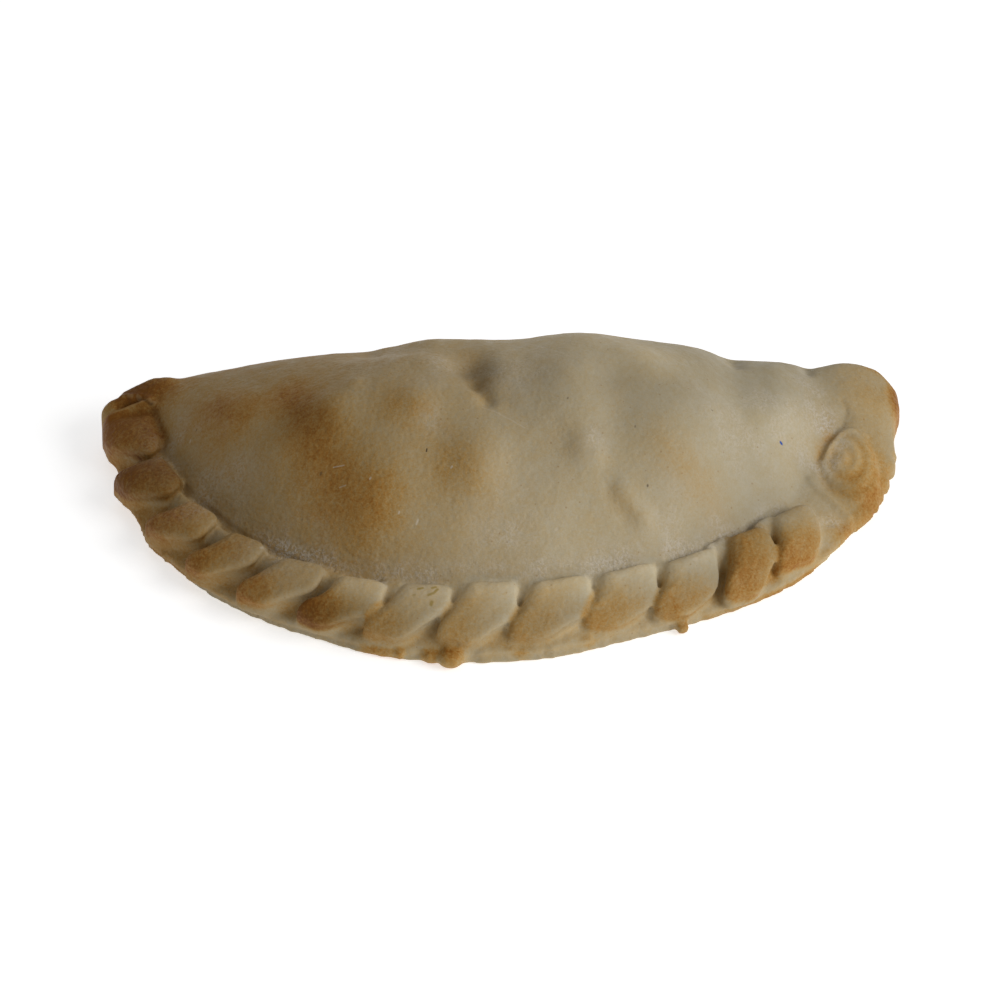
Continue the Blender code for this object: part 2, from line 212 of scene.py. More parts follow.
# How far each web starts inside the folds, and how much lower its inner half is.
WEB_STARTS = (-0.4, -0.4, -0.4, -0.3, 0, 0.3, 0.4, 0.4, 0.4, 0.4, 0.6, 1)
WEB_DROPS = (1.4, 1.4, 1.4, 1.2, 0.8, 0.3, 0.2, 0.2, 0.2, 0.2, 0.1, 0)
# Shares of the way out over which it rises to the full height.
WEB_DROP_SPAN = (0.3, 0.7)
# Places across a web and the share of its height there.
WEB_SECTION = ((-1, 0), (-0.98, 0.7), (-0.85, 0.95), (-0.5, 1), (0, 1), (0.5, 1), (0.85, 0.95),
               (0.98, 0.7), (1, 0))
WEB_RINGS = 30
WEB_TUCK = 1.5
# Small pits between the folds: angle and radius.
PITS = ((202.8, 62.1), (214.1, 63.2), (224.2, 63.7), (233.9, 63.1), (243.8, 62.4), (253.9, 62.2),
        (263.3, 62.3), (274.3, 60.8), (285, 60.4), (295.2, 61.7), (305.4, 62.8), (314.7, 63.6))
# Their radii and lean, the heights over which they end, and what they do to shape and colour: depth,
# browning and painted shade.
PIT_RADII = (0.7, 0.9)
PIT_LEAN = 0.5
PIT_TOP = (6.6, 7.6)
PIT_DEPTH = 0.12
PIT_BROWNING = 0.3
PIT_SHADE = 0.25

# Right end of the rope: a flat last fold, the coiled knob and the flap that it is pressed on.
LAST_WEB_OUTLINE = ((49.6, 4.6), (44.5, -2.6), (45.6, -8), (46.2, -12.8), (49.8, -11.8), (54.6, -7.2),
                    (56.8, -3.4), (55, 0.8))
# For this pad and those below: the fall (two places and the heights there), the spine, how far the
# corners are cut, the share of a lip in the edge, and the bottom.
LAST_WEB_FALL = (((49.6, 3), (55, -7.4)), (7.3, 2.6))
LAST_WEB_SPINE = ((50, 0), (51.6, -9))
LAST_WEB_CUT = 1.2
LAST_WEB_LIP = 0.2
KNOB_PLACE = (55.9, 8.1)
KNOB_OUTLINE = ((52.3, 8.4), (53.4, 11.4), (55.4, 13.8), (58.4, 14.6), (60.9, 12.6), (62, 8.6),
                (61.4, 3.8), (59.2, 0.8), (56.6, 0.3), (54.2, 1.9), (52.7, 4.8))
KNOB_FALL = (((57.2, 14.6), (57.8, 0.4)), (9.2, 5.3))
# How far its right side leans down: from and to X, depth.
KNOB_TILT = (57, 63, 1.1)
KNOB_SPINE = ((57.2, 10), (57.4, 5.5))
KNOB_CUT = 2
KNOB_BOTTOM = 1.3
KNOB_LIP_TURN = 145
# Its coil: radii, turns, where it fades out from the middle, and the swelling's height and radius.
KNOB_COIL = (5.6, 7.4)
COIL_TURNS = 2.6
COIL_SPAN = (0.1, 0.25, 0.85, 1.05)
KNOB_MIDDLE = (0.25, 0.14)
COIL_DEPTH = 0.1
COIL_BROWNING = 0.08
COIL_LOW = (2, 4)
RIGHT_FLAP_OUTLINE = ((45, 26.4), (51.3, 28.9), (55.1, 30.4), (58.2, 31.3), (61.5, 31.9), (63.7, 32),
                      (65.2, 31.1), (66.5, 29), (66.7, 25.1), (65.4, 20.6), (65, 17.2), (65.2, 12.8),
                      (63.4, 7.4), (61, 1.4), (57.2, -3.2), (52.4, 0.6), (47, 12))
# Its height, and the falls to the right (from and to X, depth, power) and to the front (from Y, slope).
RIGHT_FLAP_TOP = 11
RIGHT_FLAP_FALLS = ((55, 68.5, 6.6, 1.5), (22, 0.29))
RIGHT_FLAP_SPINE = ((55.5, 24), (57.5, 4))
RIGHT_FLAP_CUT = 1.3
RIGHT_FLAP_LIP = 0.35
RIGHT_FLAP_BOTTOM = 0.9

# Left end: the torn flap above the first fold, and the dough under it: middle, radii, height.
LEFT_FLAP_OUTLINE = ((-66.1, 20.4), (-66.2, 22), (-64.7, 23), (-62.6, 24), (-57.6, 25.2), (-53.2, 24.6),
                     (-52.4, 20.6), (-55, 18), (-60, 17.8), (-64.6, 18))
LEFT_FLAP_FALL = (((-53.5, 22.6), (-65.5, 21.5)), (12.9, 8.9))
# Its fall to the front: from Y, slope.
LEFT_FLAP_SLOPE = (24.4, 0.28)
LEFT_FLAP_SPINE = ((-61.5, 22.2), (-55, 22.8))
LEFT_FLAP_CUT = 0.8
LEFT_FLAP_LIP = 0.5
LEFT_FLAP_BOTTOM = 1.3
LEFT_FLAP_FOOT = ((-60.4, 21.5), (4.5, 3.1), 6.4)

# Round cushions: points, rings, size of their unevenness, and each one's rings as shares of reach and height.
MOUND_POINTS = 72
MOUND_RINGS = 28
MOUND_GRAIN = 0.55
FOOT_LEVELS = ((0.84, 0), (0.95, 0.1), (1, 0.35), (0.92, 0.75), (0.5, 1))
FOOT_BOTTOM = 0.05
FOOT_UNEVEN = (0.04, 5)
DRIP_LEVELS = ((0.7, 0), (1, 0.3), (1, 0.6), (0.7, 0.9), (0.25, 1))
DRIP_BOTTOM = 0.2
DRIP_UNEVEN = 0.12

# Baked drips on the front edge: angle, radius from the centre, half length along the edge, half
# depth across it, height.
DRIPS = ((264.6, 67, 1.9, 1.9, 2.9), (262, 66.6, 1.6, 1.3, 2.2), (255, 66.6, 3.5, 1, 1.7),
         (257.7, 66.7, 0.8, 1, 2.1), (273.9, 65, 1.9, 1, 1.9), (283, 64.4, 2.2, 0.8, 1.7),
         (296.7, 66.3, 1, 1, 1.9))

# Creases (and, with a negative depth, ridges): line in plan, half width, depth.
CARVED_LINES = (
    (((56.4, 20.3), (56.8, 18.9), (56.9, 18)), 0.35, 0.25),
    (((64, 31.6), (65, 30.4), (66.2, 29.6)), 0.5, 0.6),
    (((56.6, 17), (55.9, 15.4), (54.3, 14.2), (53.3, 12.6), (52.1, 11), (51.4, 9), (50.4, 7.4)),
     1.3, 0.5),
    (((56.2, 15.9), (55, 14.4), (54.4, 12.8), (53.2, 11), (52.4, 9), (51.2, 8.2)), 0.45, 0.25),
    (((52.9, 8.9), (54.2, 11.3), (55.6, 13.3), (56.9, 14.2), (58.5, 14.6), (59.9, 14.2)), 0.45, -0.42),
    (((-21.4, 22.4), (-21, 19.6), (-20.4, 17.6)), 1.3, 0.45),
    (((38.4, 25.6), (38.5, 22.6)), 1.5, 0.9),
    (((51, 28), (50.9, 26)), 1.1, 0.7),
    (((50.3, 3.4), (51.4, 2.2), (52.9, 0.6), (54.6, -1), (56.2, -2.2)), 0.8, -0.5),
    (((52.6, -4), (54.7, -3.9), (57.4, -4.2)), 0.6, 0.3),
    (((-64.4, 18.9), (-62.2, 19.1), (-60.4, 19.6), (-57.8, 20)), 0.6, -0.6),
    (((-63, 20.5), (-61, 20.4), (-58.8, 20.6), (-57.4, 19.6)), 0.5, 0.6),
    (((-61.9, 20.5), (-61, 20.6)), 0.4, 0.6),
    (((-60, 20.7), (-59.6, 20.6)), 0.4, 0.6),
    (((-62.4, 22), (-61, 21.6), (-59.2, 21.1), (-57.4, 19.8), (-55.6, 18.1)), 0.45, -0.5),
    (((-64.6, 23.4), (-63, 23)), 0.5, 0.8),
)
# Carving fades in over these tilts of the surface and these heights.
CARVED_TILT = (0, 0.5)
CARVED_LOW = (1.6, 3)
# Unevenness of the whole skin: height, size and seed; and the heights over which it fades in.
SKIN_GRAIN = ((0.06, 3.4, 11), (0.035, 1.3, 12))
SKIN_LOW = (0.3, 1.5)
# Places where the dough runs over smoothly: place in plan, radii, smoothing steps, lowest height.
SOFT_PLACES = (
    ((51.8, 19), (5, 8), 140, 6),
    ((51.5, -3), (5, 6), 50, 3),
    ((-52.5, 22.5), (2, 4), 40, 6),
    ((-64.5, 18), (3.4, 6.5), 26, 2),
    ((-62, 5), (3.6, 4.4), 16, 2),
    ((-58, -5.5), (3.6, 4), 12, 2),
)
# Strength of the smoothing in their middles, where more than 1 counts as 1, and its fade with height.
SOFT_STRENGTH = 1.6
SOFT_FADE = 1.5

# Browning of the dome, from 0 (pale dough) to 1 (dark brown), with painted shade beside one small ridge: line
# in plan, half width, amount.
DOME_BROWNING_AND_SHADE = (
    (((-46, 11), (-42.6, 8)), 4.2, 0.3),
    (((-33.8, 8.5), (-31.2, 3), (-29.2, -2)), 4, 0.33),
    (((-25.6, -9.2), (-21.4, -13.4)), 5, 0.31),
    (((-18.8, -12.2), (-17, -12.8)), 3.4, 0.1),
    (((-16, -0.6), (-13.6, -2.4)), 3.2, 0.2),
    (((-7.4, -10.2), (-4.8, -11)), 4, 0.24),
    (((-5, 13), (-2.6, 1)), 2.4, 0.16),
    (((26, -6.4), (29.6, -7.4), (33.6, -9)), 3.2, 0.2),
    # This stripe paints the shade on the left flank of the small ridge next to it, as browning.
    (((17.8, -12.6), (20.6, -14.2)), 1.6, 0.12),
    (((9, -6.6), (12, -8.4)), 2.4, 0.08),
    (((-57, 19), (-54, 20)), 3.4, 0.2),
)
# Browning of the two ends, with painted shade in the crack left of the knob: place in plan, radii, amount.
END_BROWNING_AND_SHADE = (
    ((57, 4), (4.4, 3.2), 0.24),
    ((57.6, 8.6), (5.6, 7.4), 0.24),
    # These two paint the shade in the crack left of the knob, as browning.
    ((53.7, 12.6), (1.1, 2.8), 0.3),
    ((52.3, 9.4), (1, 2), 0.26),
    ((66.4, 26), (1.8, 6), 0.55),
    ((63.4, 31.4), (4, 1.8), 0.45),
    ((61, 24), (6, 7), 0.28),
    ((61.6, 9), (3, 6), 0.3),
    ((60, 0), (5, 4), 0.35),
    ((57, -5), (4, 2.2), 0.4),
    ((51, -7), (6, 6), 0.14),
    ((-59, 22.6), (5, 2.6), 0.42),
    ((-62, 21), (3, 3), 0.3),
)
# Browning along X, from the left end of the dome to the right one.
DOUGH_BROWNING = ((-60, 0.5), (-45, 0.45), (-30, 0.43), (-16, 0.34), (-4, 0.24), (8, 0.15), (24, 0.12),
                  (42, 0.04), (58, 0.12))
# Browning of each fold: at the dome, at the outer end, extra in the middle.
FOLD_BROWNING = (
    (0.85, 0.95, 0), (0.8, 1, 0.1), (0.6, 0.85, 0.15), (0.5, 0.82, 0.15), (0.4, 0.8, 0),
    (0.28, 1, 0), (0.22, 0.6, 0), (0.15, 0.52, 0.14), (0.15, 0.52, 0.14), (0.14, 0.6, 0),
    (0.12, 0.64, 0), (0.52, 0.74, 0.12), (0.2, 0.78, 0),
)
# How it is spread over a fold: lean to the left side and its middle, the stretch over which it rises, the
# middle spot (place and half width out and across), and how much paler the right and inner edges are.
FOLD_LEAN = (0.5, 0.45)
FOLD_RISE = (0.3, 1.05)
FOLD_SPOT = ((0.45, 0.24), (0.4, 0.28))
FOLD_PALE_RIGHT = (0.14, 0.75, 1)
FOLD_PALE_INNER = (0.08, 0, 0.12)
# Bounds of what counts as a fold: across it, out along it, and above its drawn top.
FOLD_ACROSS = (-0.05, 0, 1, 1.04)
FOLD_OUT = (-0.04, 0.02, 1.02, 1.08)
FOLD_DEPTH = (-3.4, -2.2, 0.25, 0.6)
# Browning between the folds, at angles, and how much weaker it is where they are high.
WEB_BROWNING = ((190, 0.85), (200, 0.7), (215, 0.62), (240, 0.54), (262, 0.42), (300, 0.38), (309, 0.6),
                (317, 0.6), (326, 0.3), (350, 0.3))
WEB_WEAKER = (0.5, 3.8, 6)
# Where the rope starts, how far back it reaches, and where the right end takes over: in X, and in Y less a
# share of X.
ROPE_START = (59.5, 62)
ROPE_BACK = 22
RIGHT_END_X = (47, 52)
RIGHT_END_Y = (-22, -19)
RIGHT_END_LEAN = 0.2
# The upper layer's thin edge: its browning, width, lowest height and first angles; then the lower layer.
EDGE_BROWNING = 0.26
EDGE_WIDTH = (0.3, 0.9)
EDGE_LOW = (1.2, 1.6)
EDGE_ANGLES = (226, 240)
LOWER_BROWNING = 0.2
LOWER_TOP = (1.1, 1.5)
LOWER_ANGLES = (225, 300)
# Browning of the drips, how far it spreads past their length and depth, and above their tops.
DRIP_BROWNING = 0.75
DRIP_SPREAD = (1.2, 1.3)
DRIP_FADE = 0.5
# Tone along X, from the left end to the right one, and patches that are lighter or darker: place in
# plan, radius, change. Both are partly the bake's own tone and partly painted light and shade, such as
# the darker left end and the lighter back of the dome.
TONES_AND_LIGHT_ALONG = ((-60, 0.83), (-45, 0.83), (-30, 0.9), (-14, 1), (6, 1.03), (24, 1), (40, 0.98), (58, 0.95))
TONE_AND_LIGHT_PATCHES = ((-3.6, 6.6, 3.4, -0.36), (-59.6, 22.4, 3.4, -0.26), (57, 8, 5, 0.26),
                (45, 8, 7, 0.16), (16, 20, 7, 0.14), (36, 14, 6, -0.12),
                (52, -6, 5, 0.22), (60, 20, 5, 0.1), (2, 30, 9, 0.2),
                (26, 6, 7, -0.14), (-44, -6, 8, -0.06), (10, -19, 7, 0.18),
                (26, -16, 5, 0.14), (-4, -18, 5, 0.1), (-32.4, 3, 5, -0.2),
                (-24.5, 1, 3.4, 0.12), (-23.5, -11, 6, -0.08), (-36, -6, 5, -0.04),
                (-27.3, -1.1, 3, -0.14), (-34, -2.4, 2.6, 0.08), (49.9, 5.2, 2.6, -0.14),
                (11.2, -28.4, 2.2, 0.14), (-23, -29.3, 2.4, -0.14), (-36, 6, 4, 0.1),
                (8, 14, 6, 0.12), (24.4, 12, 6, 0.26), (21, -1, 5, -0.08))
# Tone of each fold, at the dome and at its outer end, where it changes, and its limit at the inner edge.
# It is partly the folds' own tone and partly painted light and shade.
FOLD_TONES_AND_LIGHT = ((0.68, 0.76), (0.56, 0.63), (0.79, 0.77), (0.77, 0.8), (0.9, 0.84), (1.28, 0.64), (1.3, 0.86),
              (1.5, 0.96), (1.56, 0.88), (1.53, 0.92), (1.38, 0.85), (0.93, 0.9), (1.06, 0.94))
FOLD_TONE_SPAN = (0.2, 0.9)
INNER_TONE = (1.05, 0.6, 0, 0.18)
# Floury stretches at the dome's foot: angle, half width in degrees, amount; and the strip's distance inside
# the folds, half width and lowest height.
FLOURY = ((222, 9, 0.6), (238, 9, 0.9), (254, 8, 1), (272, 10, 0.7), (290, 8, 0.8), (304, 8, 1),
          (318, 8, 1), (332, 8, 0.9))
FLOURY_STRIP = (1.1, 1.7)
FLOURY_LOW = (5.6, 7.2)
# Floury patches of the dome: place in plan, radius, amount.
FLOUR_PATCHES = ((-46, -2, 7, 0.45), (-52, 9, 5, 0.5), (-34, -16, 6, 0.4),
                 (-9.5, 9, 5, 0.5), (-18, 13, 5, 0.4), (-10, -4.5, 3, 0.4),
                 (3.4, 6.2, 6, 0.4), (14.5, -7, 2, 0.5), (45, 10, 7, 0.5),
                 (38, 4, 7, 0.4), (52, 15, 3.4, 0.9), (50.4, 6, 3, 0.8),
                 (51, 21, 3, 0.6), (52, -5, 3.6, 0.6), (2, -18, 6, 0.3),
                 (28, -15, 5, 0.3))
# Its middle strength, its unevenness (amount, size and seed), and the tilts over which it fades in.
FLOUR_STRENGTH = 0.7
FLOUR_GRAIN = ((0.8, 3.4, 21), (0.5, 1.3, 22))
FLOUR_TILT = (-0.2, 0.3)

# Small marks, painted glints, a painted highlight and painted shade, on the parts higher than the given
# heights: start and end in plan in the part's frame, half width and strength; and their colour.
STROKES_ABOVE = (3, 4)
MARKS_AND_PAINTED_LIGHT = (
    (  # blue fleck
        (((45.19, 6.72), (45.31, 6.66), 0.2, 1),), (0.004, 0.07, 0.33)),
    (  # flecks of herb on one fold
        (((-12.7, -24.35), (-12.05, -24.2), 0.24, 0.75), ((-10.5, -24.2), (-10, -23.95), 0.24, 0.75),
         ((-10.1, -25), (-9.7, -24.4), 0.22, 0.75), ((-11.1, -25.6), (-10.3, -25.2), 0.22, 0.7),
         ((-13.4, -25.6), (-13.2, -25.5), 0.2, 0.45), ((-10.65, -27.2), (-10.55, -26.8), 0.28, 0.7)),
        (0.25, 0.17, 0.03)),
    (  # scratches, painted glints and the faint line
        (((-26.2, -6.1), (-24.5, -6.45), 0.08, 0.55), ((-25.2, -8.9), (-24.2, -9.05), 0.08, 0.45),
         ((-20.35, -9.5), (-20.25, -9.45), 0.15, 0.7), ((-13.05, -15.2), (-12.8, -14.8), 0.15, 0.65),
         ((-15.8, -13.9), (-15.75, -13.8), 0.14, 0.7), ((-7.6, -9.6), (-7.5, -9.55), 0.15, 0.8),
         ((-50.1, 9), (-50.05, 9.15), 0.14, 0.6), ((-37.6, -14.2), (-37.3, -13.9), 0.22, 0.6),
         ((-39.5, -14.45), (-39.4, -14.35), 0.15, 0.4), ((30.5, -17.3), (30.7, -17.1), 0.34, 0.4),
         ((8.7, -16.2), (8.9, -16.1), 0.2, 0.3), ((-2.75, -0.9), (3.9, -4.5), 0.1, 0.24),
         ((2.9, 18.2), (7.1, 12.9), 0.12, 0.2), ((7.1, 12.9), (11.1, 8.9), 0.12, 0.2)),
        (0.58, 0.5, 0.38)),
    (  # crumbs of the left flap's torn edge, and a painted highlight along the first fold's lip
        (((-64.2, 20.1), (-61.5, 20.3), 0.14, 0.35), ((-61.5, 20.3), (-58, 21.1), 0.14, 0.4),
         ((-61.2, 22.7), (-60.6, 22.5), 0.26, 0.5), ((-59.7, 22.3), (-59.2, 21.9), 0.24, 0.5),
         ((-57.6, 21), (-56.6, 20.1), 0.26, 0.5), ((-62.2, 22.9), (-62, 22.8), 0.2, 0.4)),
        (0.48, 0.3, 0.13)),
    (  # painted shade in the pits under the torn edge
        (((-61.3, 21.5), (-61, 21.5), 0.3, 0.6), ((-60.1, 21.6), (-59.8, 21.6), 0.28, 0.6),
         ((-62.1, 21.4), (-61.9, 21.3), 0.24, 0.5), ((-58.7, 21.3), (-57.2, 20.3), 0.2, 0.4)),
        (0.06, 0.03, 0.01)),
    (  # dark specks
        (((-11.5, -7), (-11.45, -6.75), 0.12, 0.9), ((-28.25, -6.2), (-28.2, -6.1), 0.2, 0.55),
         ((23.1, -9.85), (23.15, -9.8), 0.14, 0.7), ((21.2, -3.1), (21.25, -3), 0.14, 0.5),
         ((10.6, -0.9), (10.65, -0.8), 0.13, 0.5), ((33.7, 4.5), (33.8, 4.5), 0.12, 0.5),
         ((-49.1, 9.9), (-49.05, 10), 0.12, 0.5)),
        (0.07, 0.045, 0.025)),
)

# Colours of the dough, from pale to dark brown, linear.
DOUGH_RAMP = ((0.0, (0.42, 0.372, 0.265)), (0.2, (0.42, 0.338, 0.208)), (0.4, (0.42, 0.3, 0.143)),
              (0.6, (0.41, 0.243, 0.074)), (0.8, (0.36, 0.168, 0.03)), (1.0, (0.25, 0.088, 0.008)))
FLOUR_COLOUR = (0.56, 0.5, 0.41)
MOTTLE_COLOUR = (0.98, 0.94, 0.85)
# Painted shade in hollows and painted highlight on ridges.
HOLLOW_SHADE_COLOUR = (0.17, 0.095, 0.035)
RIDGE_HIGHLIGHT_COLOUR = (0.55, 0.46, 0.31)
SPECK_COLOUR = (0.27, 0.15, 0.05)
CRUST_SPECULAR = 0.14
# Noises of the crust: size in millimetres, detail, roughness. Then the cells of the skin and the specks.
BROAD = (9.0, 3.0, 0.5)
CLOUD = (2.2, 3.0, 0.5)
SPECKLE = (0.55, 2.0, 0.6)
FINE = (0.28, 1.0, 0.5)
GRANULES = (0.5, 2.0, 0.7)
MOTTLES = ((6.0, 2.0, 0.5), (1.3, 3.0, 0.6))
LEATHER_CELLS = 0.75
SPECK_CELLS = 1.15
# Uneven browning: strength on pale dough and what browning adds, and the weight of each noise.
WANDER_STRENGTH = (0.2, 0.5)
WANDER_WEIGHTS = (0.22, 0.6, 0.8, 0.7)
# Mottling: the weight of each noise and the span over which it sets in.
MOTTLE_WEIGHTS = (1.0, 1.2, 0.8)
MOTTLE_SPAN = (-0.3, 0.3)
# Flour: span of the noise that makes its grains, the even dusting and what the grains add.
GRANULE_SPAN = (0.38, 0.62)
DUSTING = (0.12, 0.7)
# Painted shade in hollows and painted highlight on ridges: span of the hollowness, and strength of their
# colour.
HOLLOW_SPAN, HOLLOW_SHADE_STRENGTH = (0.12, 0.9), 0.3
RIDGE_SPAN, RIDGE_HIGHLIGHT_STRENGTH = (0.3, 1.4), 0.2
# Specks: the chance that gives a cell one, largest size, soft edge and strength.
SPECK_CHANCE, SPECK_SIZE, SPECK_EDGE, SPECK_STRENGTH = (0.4, 1.0), 0.16, (-0.03, 0.06), 0.45
# Soft edge of a stroke, in shares of its half width.
STROKE_EDGE = (0.4, 1.5)
# Heights of the skin in millimetres: pores on pale dough and what browning adds; and each part's.
PORE_HEIGHT = (0.03, 0.16)
SPECKLE_HEIGHT, FINE_HEIGHT, CRUMB_HEIGHT, CLOUD_HEIGHT = 0.035, 0.006, 0.07, 0.1
# Roughness: span of the cloud noise, the roughness at its ends, and what flour adds.
ROUGH_SPAN, ROUGH_ENDS, FLOUR_ROUGHNESS = (0.3, 0.7), (0.5, 0.64), 0.25

# Camera: it looks down along +Y.
CAMERA_TARGET = (0.0, 7.69, 0.0)
CAMERA_DISTANCE = 600.0
CAMERA_ELEVATION = 40.0
CAMERA_LENS = 132.2
CAMERA_SENSOR = 36.0
# Nearest distance that it sees.
CAMERA_NEAR = 10.0

# Lamps: name, direction as turn and height in degrees, distance, size (metres) and power.
LAMPS = (("key", (-22.0, 30.0), 1.4, 0.9, 12.4), ("fill", (100.0, 40.0), 1.6, 1.4, 3.4))
WORLD_STRENGTH = 0.26
WHITE = (1.0, 1.0, 1.0, 1.0)
PAPER_COLOUR = (0.86, 0.86, 0.86, 1.0)
PAPER_ROUGHNESS = 0.9
PAPER_GLOW = 0.58
# Half the floor's width in metres, and how far below the part it lies in millimetres.
FLOOR_HALF = 3.0
FLOOR_GAP = 0.03


def smooth_lookup(keys, place):
    """Value at a place along given keys, with rounded joins between them."""
    places = np.array([key[0] for key in keys], dtype=float)
    values = np.array([key[1] for key in keys], dtype=float)
    slopes = np.gradient(values, places)
    place = np.clip(place, places[0], places[-1])
    span = np.clip(np.searchsorted(places, place) - 1, 0, len(places) - 2)
    width = places[span + 1] - places[span]
    share = (place - places[span]) / width
    start = (1 + 2 * share) * (1 - share) ** 2 * values[span]
    start_slope = share * (1 - share) ** 2 * width * slopes[span]
    end = share ** 2 * (3 - 2 * share) * values[span + 1]
    end_slope = share ** 2 * (share - 1) * width * slopes[span + 1]
    return start + start_slope + end + end_slope


def spaced(pairs, count):
    """Both numbers of given pairs at evenly spread steps along them."""
    steps = np.linspace(0, len(pairs) - 1, count)
    return [smooth_lookup([(step, pair[axis]) for step, pair in enumerate(pairs)], steps) for axis in (0, 1)]


def ease(value, low, high):
    """0 below low, 1 above high and a soft step between them."""
    share = np.clip((value - low) / (high - low), 0, 1)
    return share * share * (3 - 2 * share)


def window(value, bounds):
    """1 between the two middle bounds, with soft steps out to the outer two."""
    return ease(value, bounds[0], bounds[1]) * (1 - ease(value, bounds[2], bounds[3]))


def grain(points, size, seed):
    """Smooth noise from -1 to 1 at points, with lumps of about the given size."""
    scaled = np.asarray(points, dtype=float) / size
    cell = np.floor(scaled).astype(np.int64)
    share = scaled - cell
    share = share * share * (3 - 2 * share)
    total = np.zeros(len(scaled))
    for corner in itertools.product((0, 1), repeat=3):
        scrambled = (cell + np.array(corner)) * np.array(CELL_FACTORS)
        key = np.bitwise_xor.reduce(scrambled, axis=1) ^ (seed * SEED_FACTOR)
        key = ((key ^ (key >> 13)) * MIXING_FACTOR) & 0xFFFFFFFF
        value = ((key ^ (key >> 15)) & 0xFFFF) / NOISE_HALF_RANGE - 1
        weight = np.prod(np.where(np.array(corner) == 1, share, 1 - share), axis=1)
        total += value * weight
    return total


def grains(points, layers):
    """Sum of noises, each given by its height, size and seed."""
    return sum(height * grain(points, size, seed) for height, size, seed in layers)


def seam_points(angles, radii, heights):
    """Points at angles, in degrees, and radii round the seam's centre."""
    turn = np.radians(angles)
    x = SEAM_CENTRE[0] + radii * np.cos(turn)
    y = SEAM_CENTRE[1] + radii * np.sin(turn)
    return np.column_stack(np.broadcast_arrays(x, y, heights))


def seam_place(points):
    """Angle, in degrees, and radius of points round the seam's centre."""
    x = points[:, 0] - SEAM_CENTRE[0]
    y = points[:, 1] - SEAM_CENTRE[1]
    return np.degrees(np.arctan2(y, x)) % 360, np.hypot(x, y)


def loft(rings):
    """Closed shell through rings of equally many points: its points and its faces."""
    rings = np.asarray(rings, dtype=float)
    rows, count = rings.shape[:2]
    index = np.arange(rows * count).reshape(rows, count)
    after = np.roll(index, -1, axis=1)
    sides = np.stack([index[:-1], after[:-1], after[1:], index[1:]], axis=-1).reshape(-1, 4)
    faces = sides.tolist()
    faces.append(index[0, ::-1].tolist())
    faces.append(index[-1].tolist())
    return rings.reshape(-1, 3), faces


def nearest_on_line(place, start, end):
    """Nearest points of a straight stretch to points of the plan, and their shares of the way along it."""
    start = np.array(start)
    along = np.array(end) - start
    share = np.clip((place - start) @ along / (along @ along), 0, 1)
    return start + share[:, None] * along, share


def near_line(points, line, width):
    """1 on a line of the plan, falling softly to 0 past the given half width."""
    place = points[:, :2]
    away = [np.linalg.norm(place - nearest_on_line(place, start, end)[0], axis=1)
            for start, end in zip(line[:-1], line[1:])]
    return np.exp(-(np.min(away, axis=0) / width) ** 2)


def blob(points, place, radii):
    """1 at a place of the plan, falling softly to 0 past the given radii."""
    away = np.hypot((points[:, 0] - place[0]) / radii[0], (points[:, 1] - place[1]) / radii[1])
    return np.exp(-away ** 2)


def fall_between(place, fall):
    """Height that falls evenly from one place of the plan to another."""
    ends, heights = fall
    share = nearest_on_line(place, *ends)[1]
    return heights[0] + (heights[1] - heights[0]) * share


def dome_relief(place):
    """Height that the lumps and creases add at points of the plan."""
    relief = np.zeros(len(place))
    for x, y, radius, height in DOME_LUMPS:
        relief += height * blob(place, (x, y), (radius, radius))
    for line, width, depth in DOME_CREASES:
        relief -= depth * near_line(place, line, width)
    return relief


def dome_section(x):
    """Closed outline of the dome where it is cut across at x."""
    across = np.clip(abs(x - SEAM_CENTRE[0]), 0, DOME_FOOT_RADIUS - TIP_GAP)
    front = SEAM_CENTRE[1] - math.sqrt(DOME_FOOT_RADIUS ** 2 - across ** 2)
    back = float(smooth_lookup(DOME_BACK, x))
    ridge = max(float(smooth_lookup(DOME_RIDGE, x)), front + RIDGE_GAP)
    crest = float(smooth_lookup(DOME_CREST, x))
    bulge = min(BACK_BULGE_HEIGHT, BACK_LIMIT * crest)
    out = np.linspace(1, 0, DOME_FRONT_POINTS)
    slope = SLOPE_MIX * (1 - out ** 2) + (1 - SLOPE_MIX) * np.cos(0.5 * math.pi * out) ** 2
    front_y = ridge + (front - ridge) * out
    front_z = DOME_FOOT_HEIGHT + (crest - DOME_FOOT_HEIGHT) * slope
    turn = np.linspace(0, 0.5 * math.pi, DOME_BACK_POINTS)[1:]
    back_y = ridge + (back - ridge) * np.sin(turn)
    back_z = bulge + (crest - bulge) * np.cos(turn)
    turn = np.linspace(0, 0.5 * math.pi, DOME_UNDER_POINTS)[1:]
    undercut = min(BACK_UNDERCUT, BACK_LIMIT * (back - ridge))
    under_y = back - undercut * (1 - np.cos(turn))
    under_z = bulge - (bulge - DOME_BOTTOM) * np.sin(turn)
    y = np.concatenate([front_y, back_y, under_y])
    z = np.concatenate([front_z, back_z, under_z])
    outward = np.column_stack([y - 0.5 * (front + back), z - DOME_HEART * crest])
    outward /= np.linalg.norm(outward, axis=1)[:, None]
    relief = dome_relief(np.column_stack([np.full(len(y), x), y]))
    relief = relief * np.clip((z - DOME_FOOT_HEIGHT) / RELIEF_FADE, 0, 1)
    y = y + outward[:, 0] * relief
    z = z + outward[:, 1] * relief
    foot = np.array([[x, front, DOME_BOTTOM]])
    return np.vstack([foot, np.column_stack([np.full(len(y), x), y, z])])


def make_dome():
    """Filled middle: sections along X, closer together towards the tips."""
    middle = 0.5 * (DOME_ENDS[0] + DOME_ENDS[1])
    half = 0.5 * (DOME_ENDS[1] - DOME_ENDS[0])
    even = np.linspace(-1, 1, DOME_SECTIONS)
    bunched = np.sin(0.5 * math.pi * even)
    return loft([dome_section(middle + half * place) for place in 0.5 * (even + bunched)])


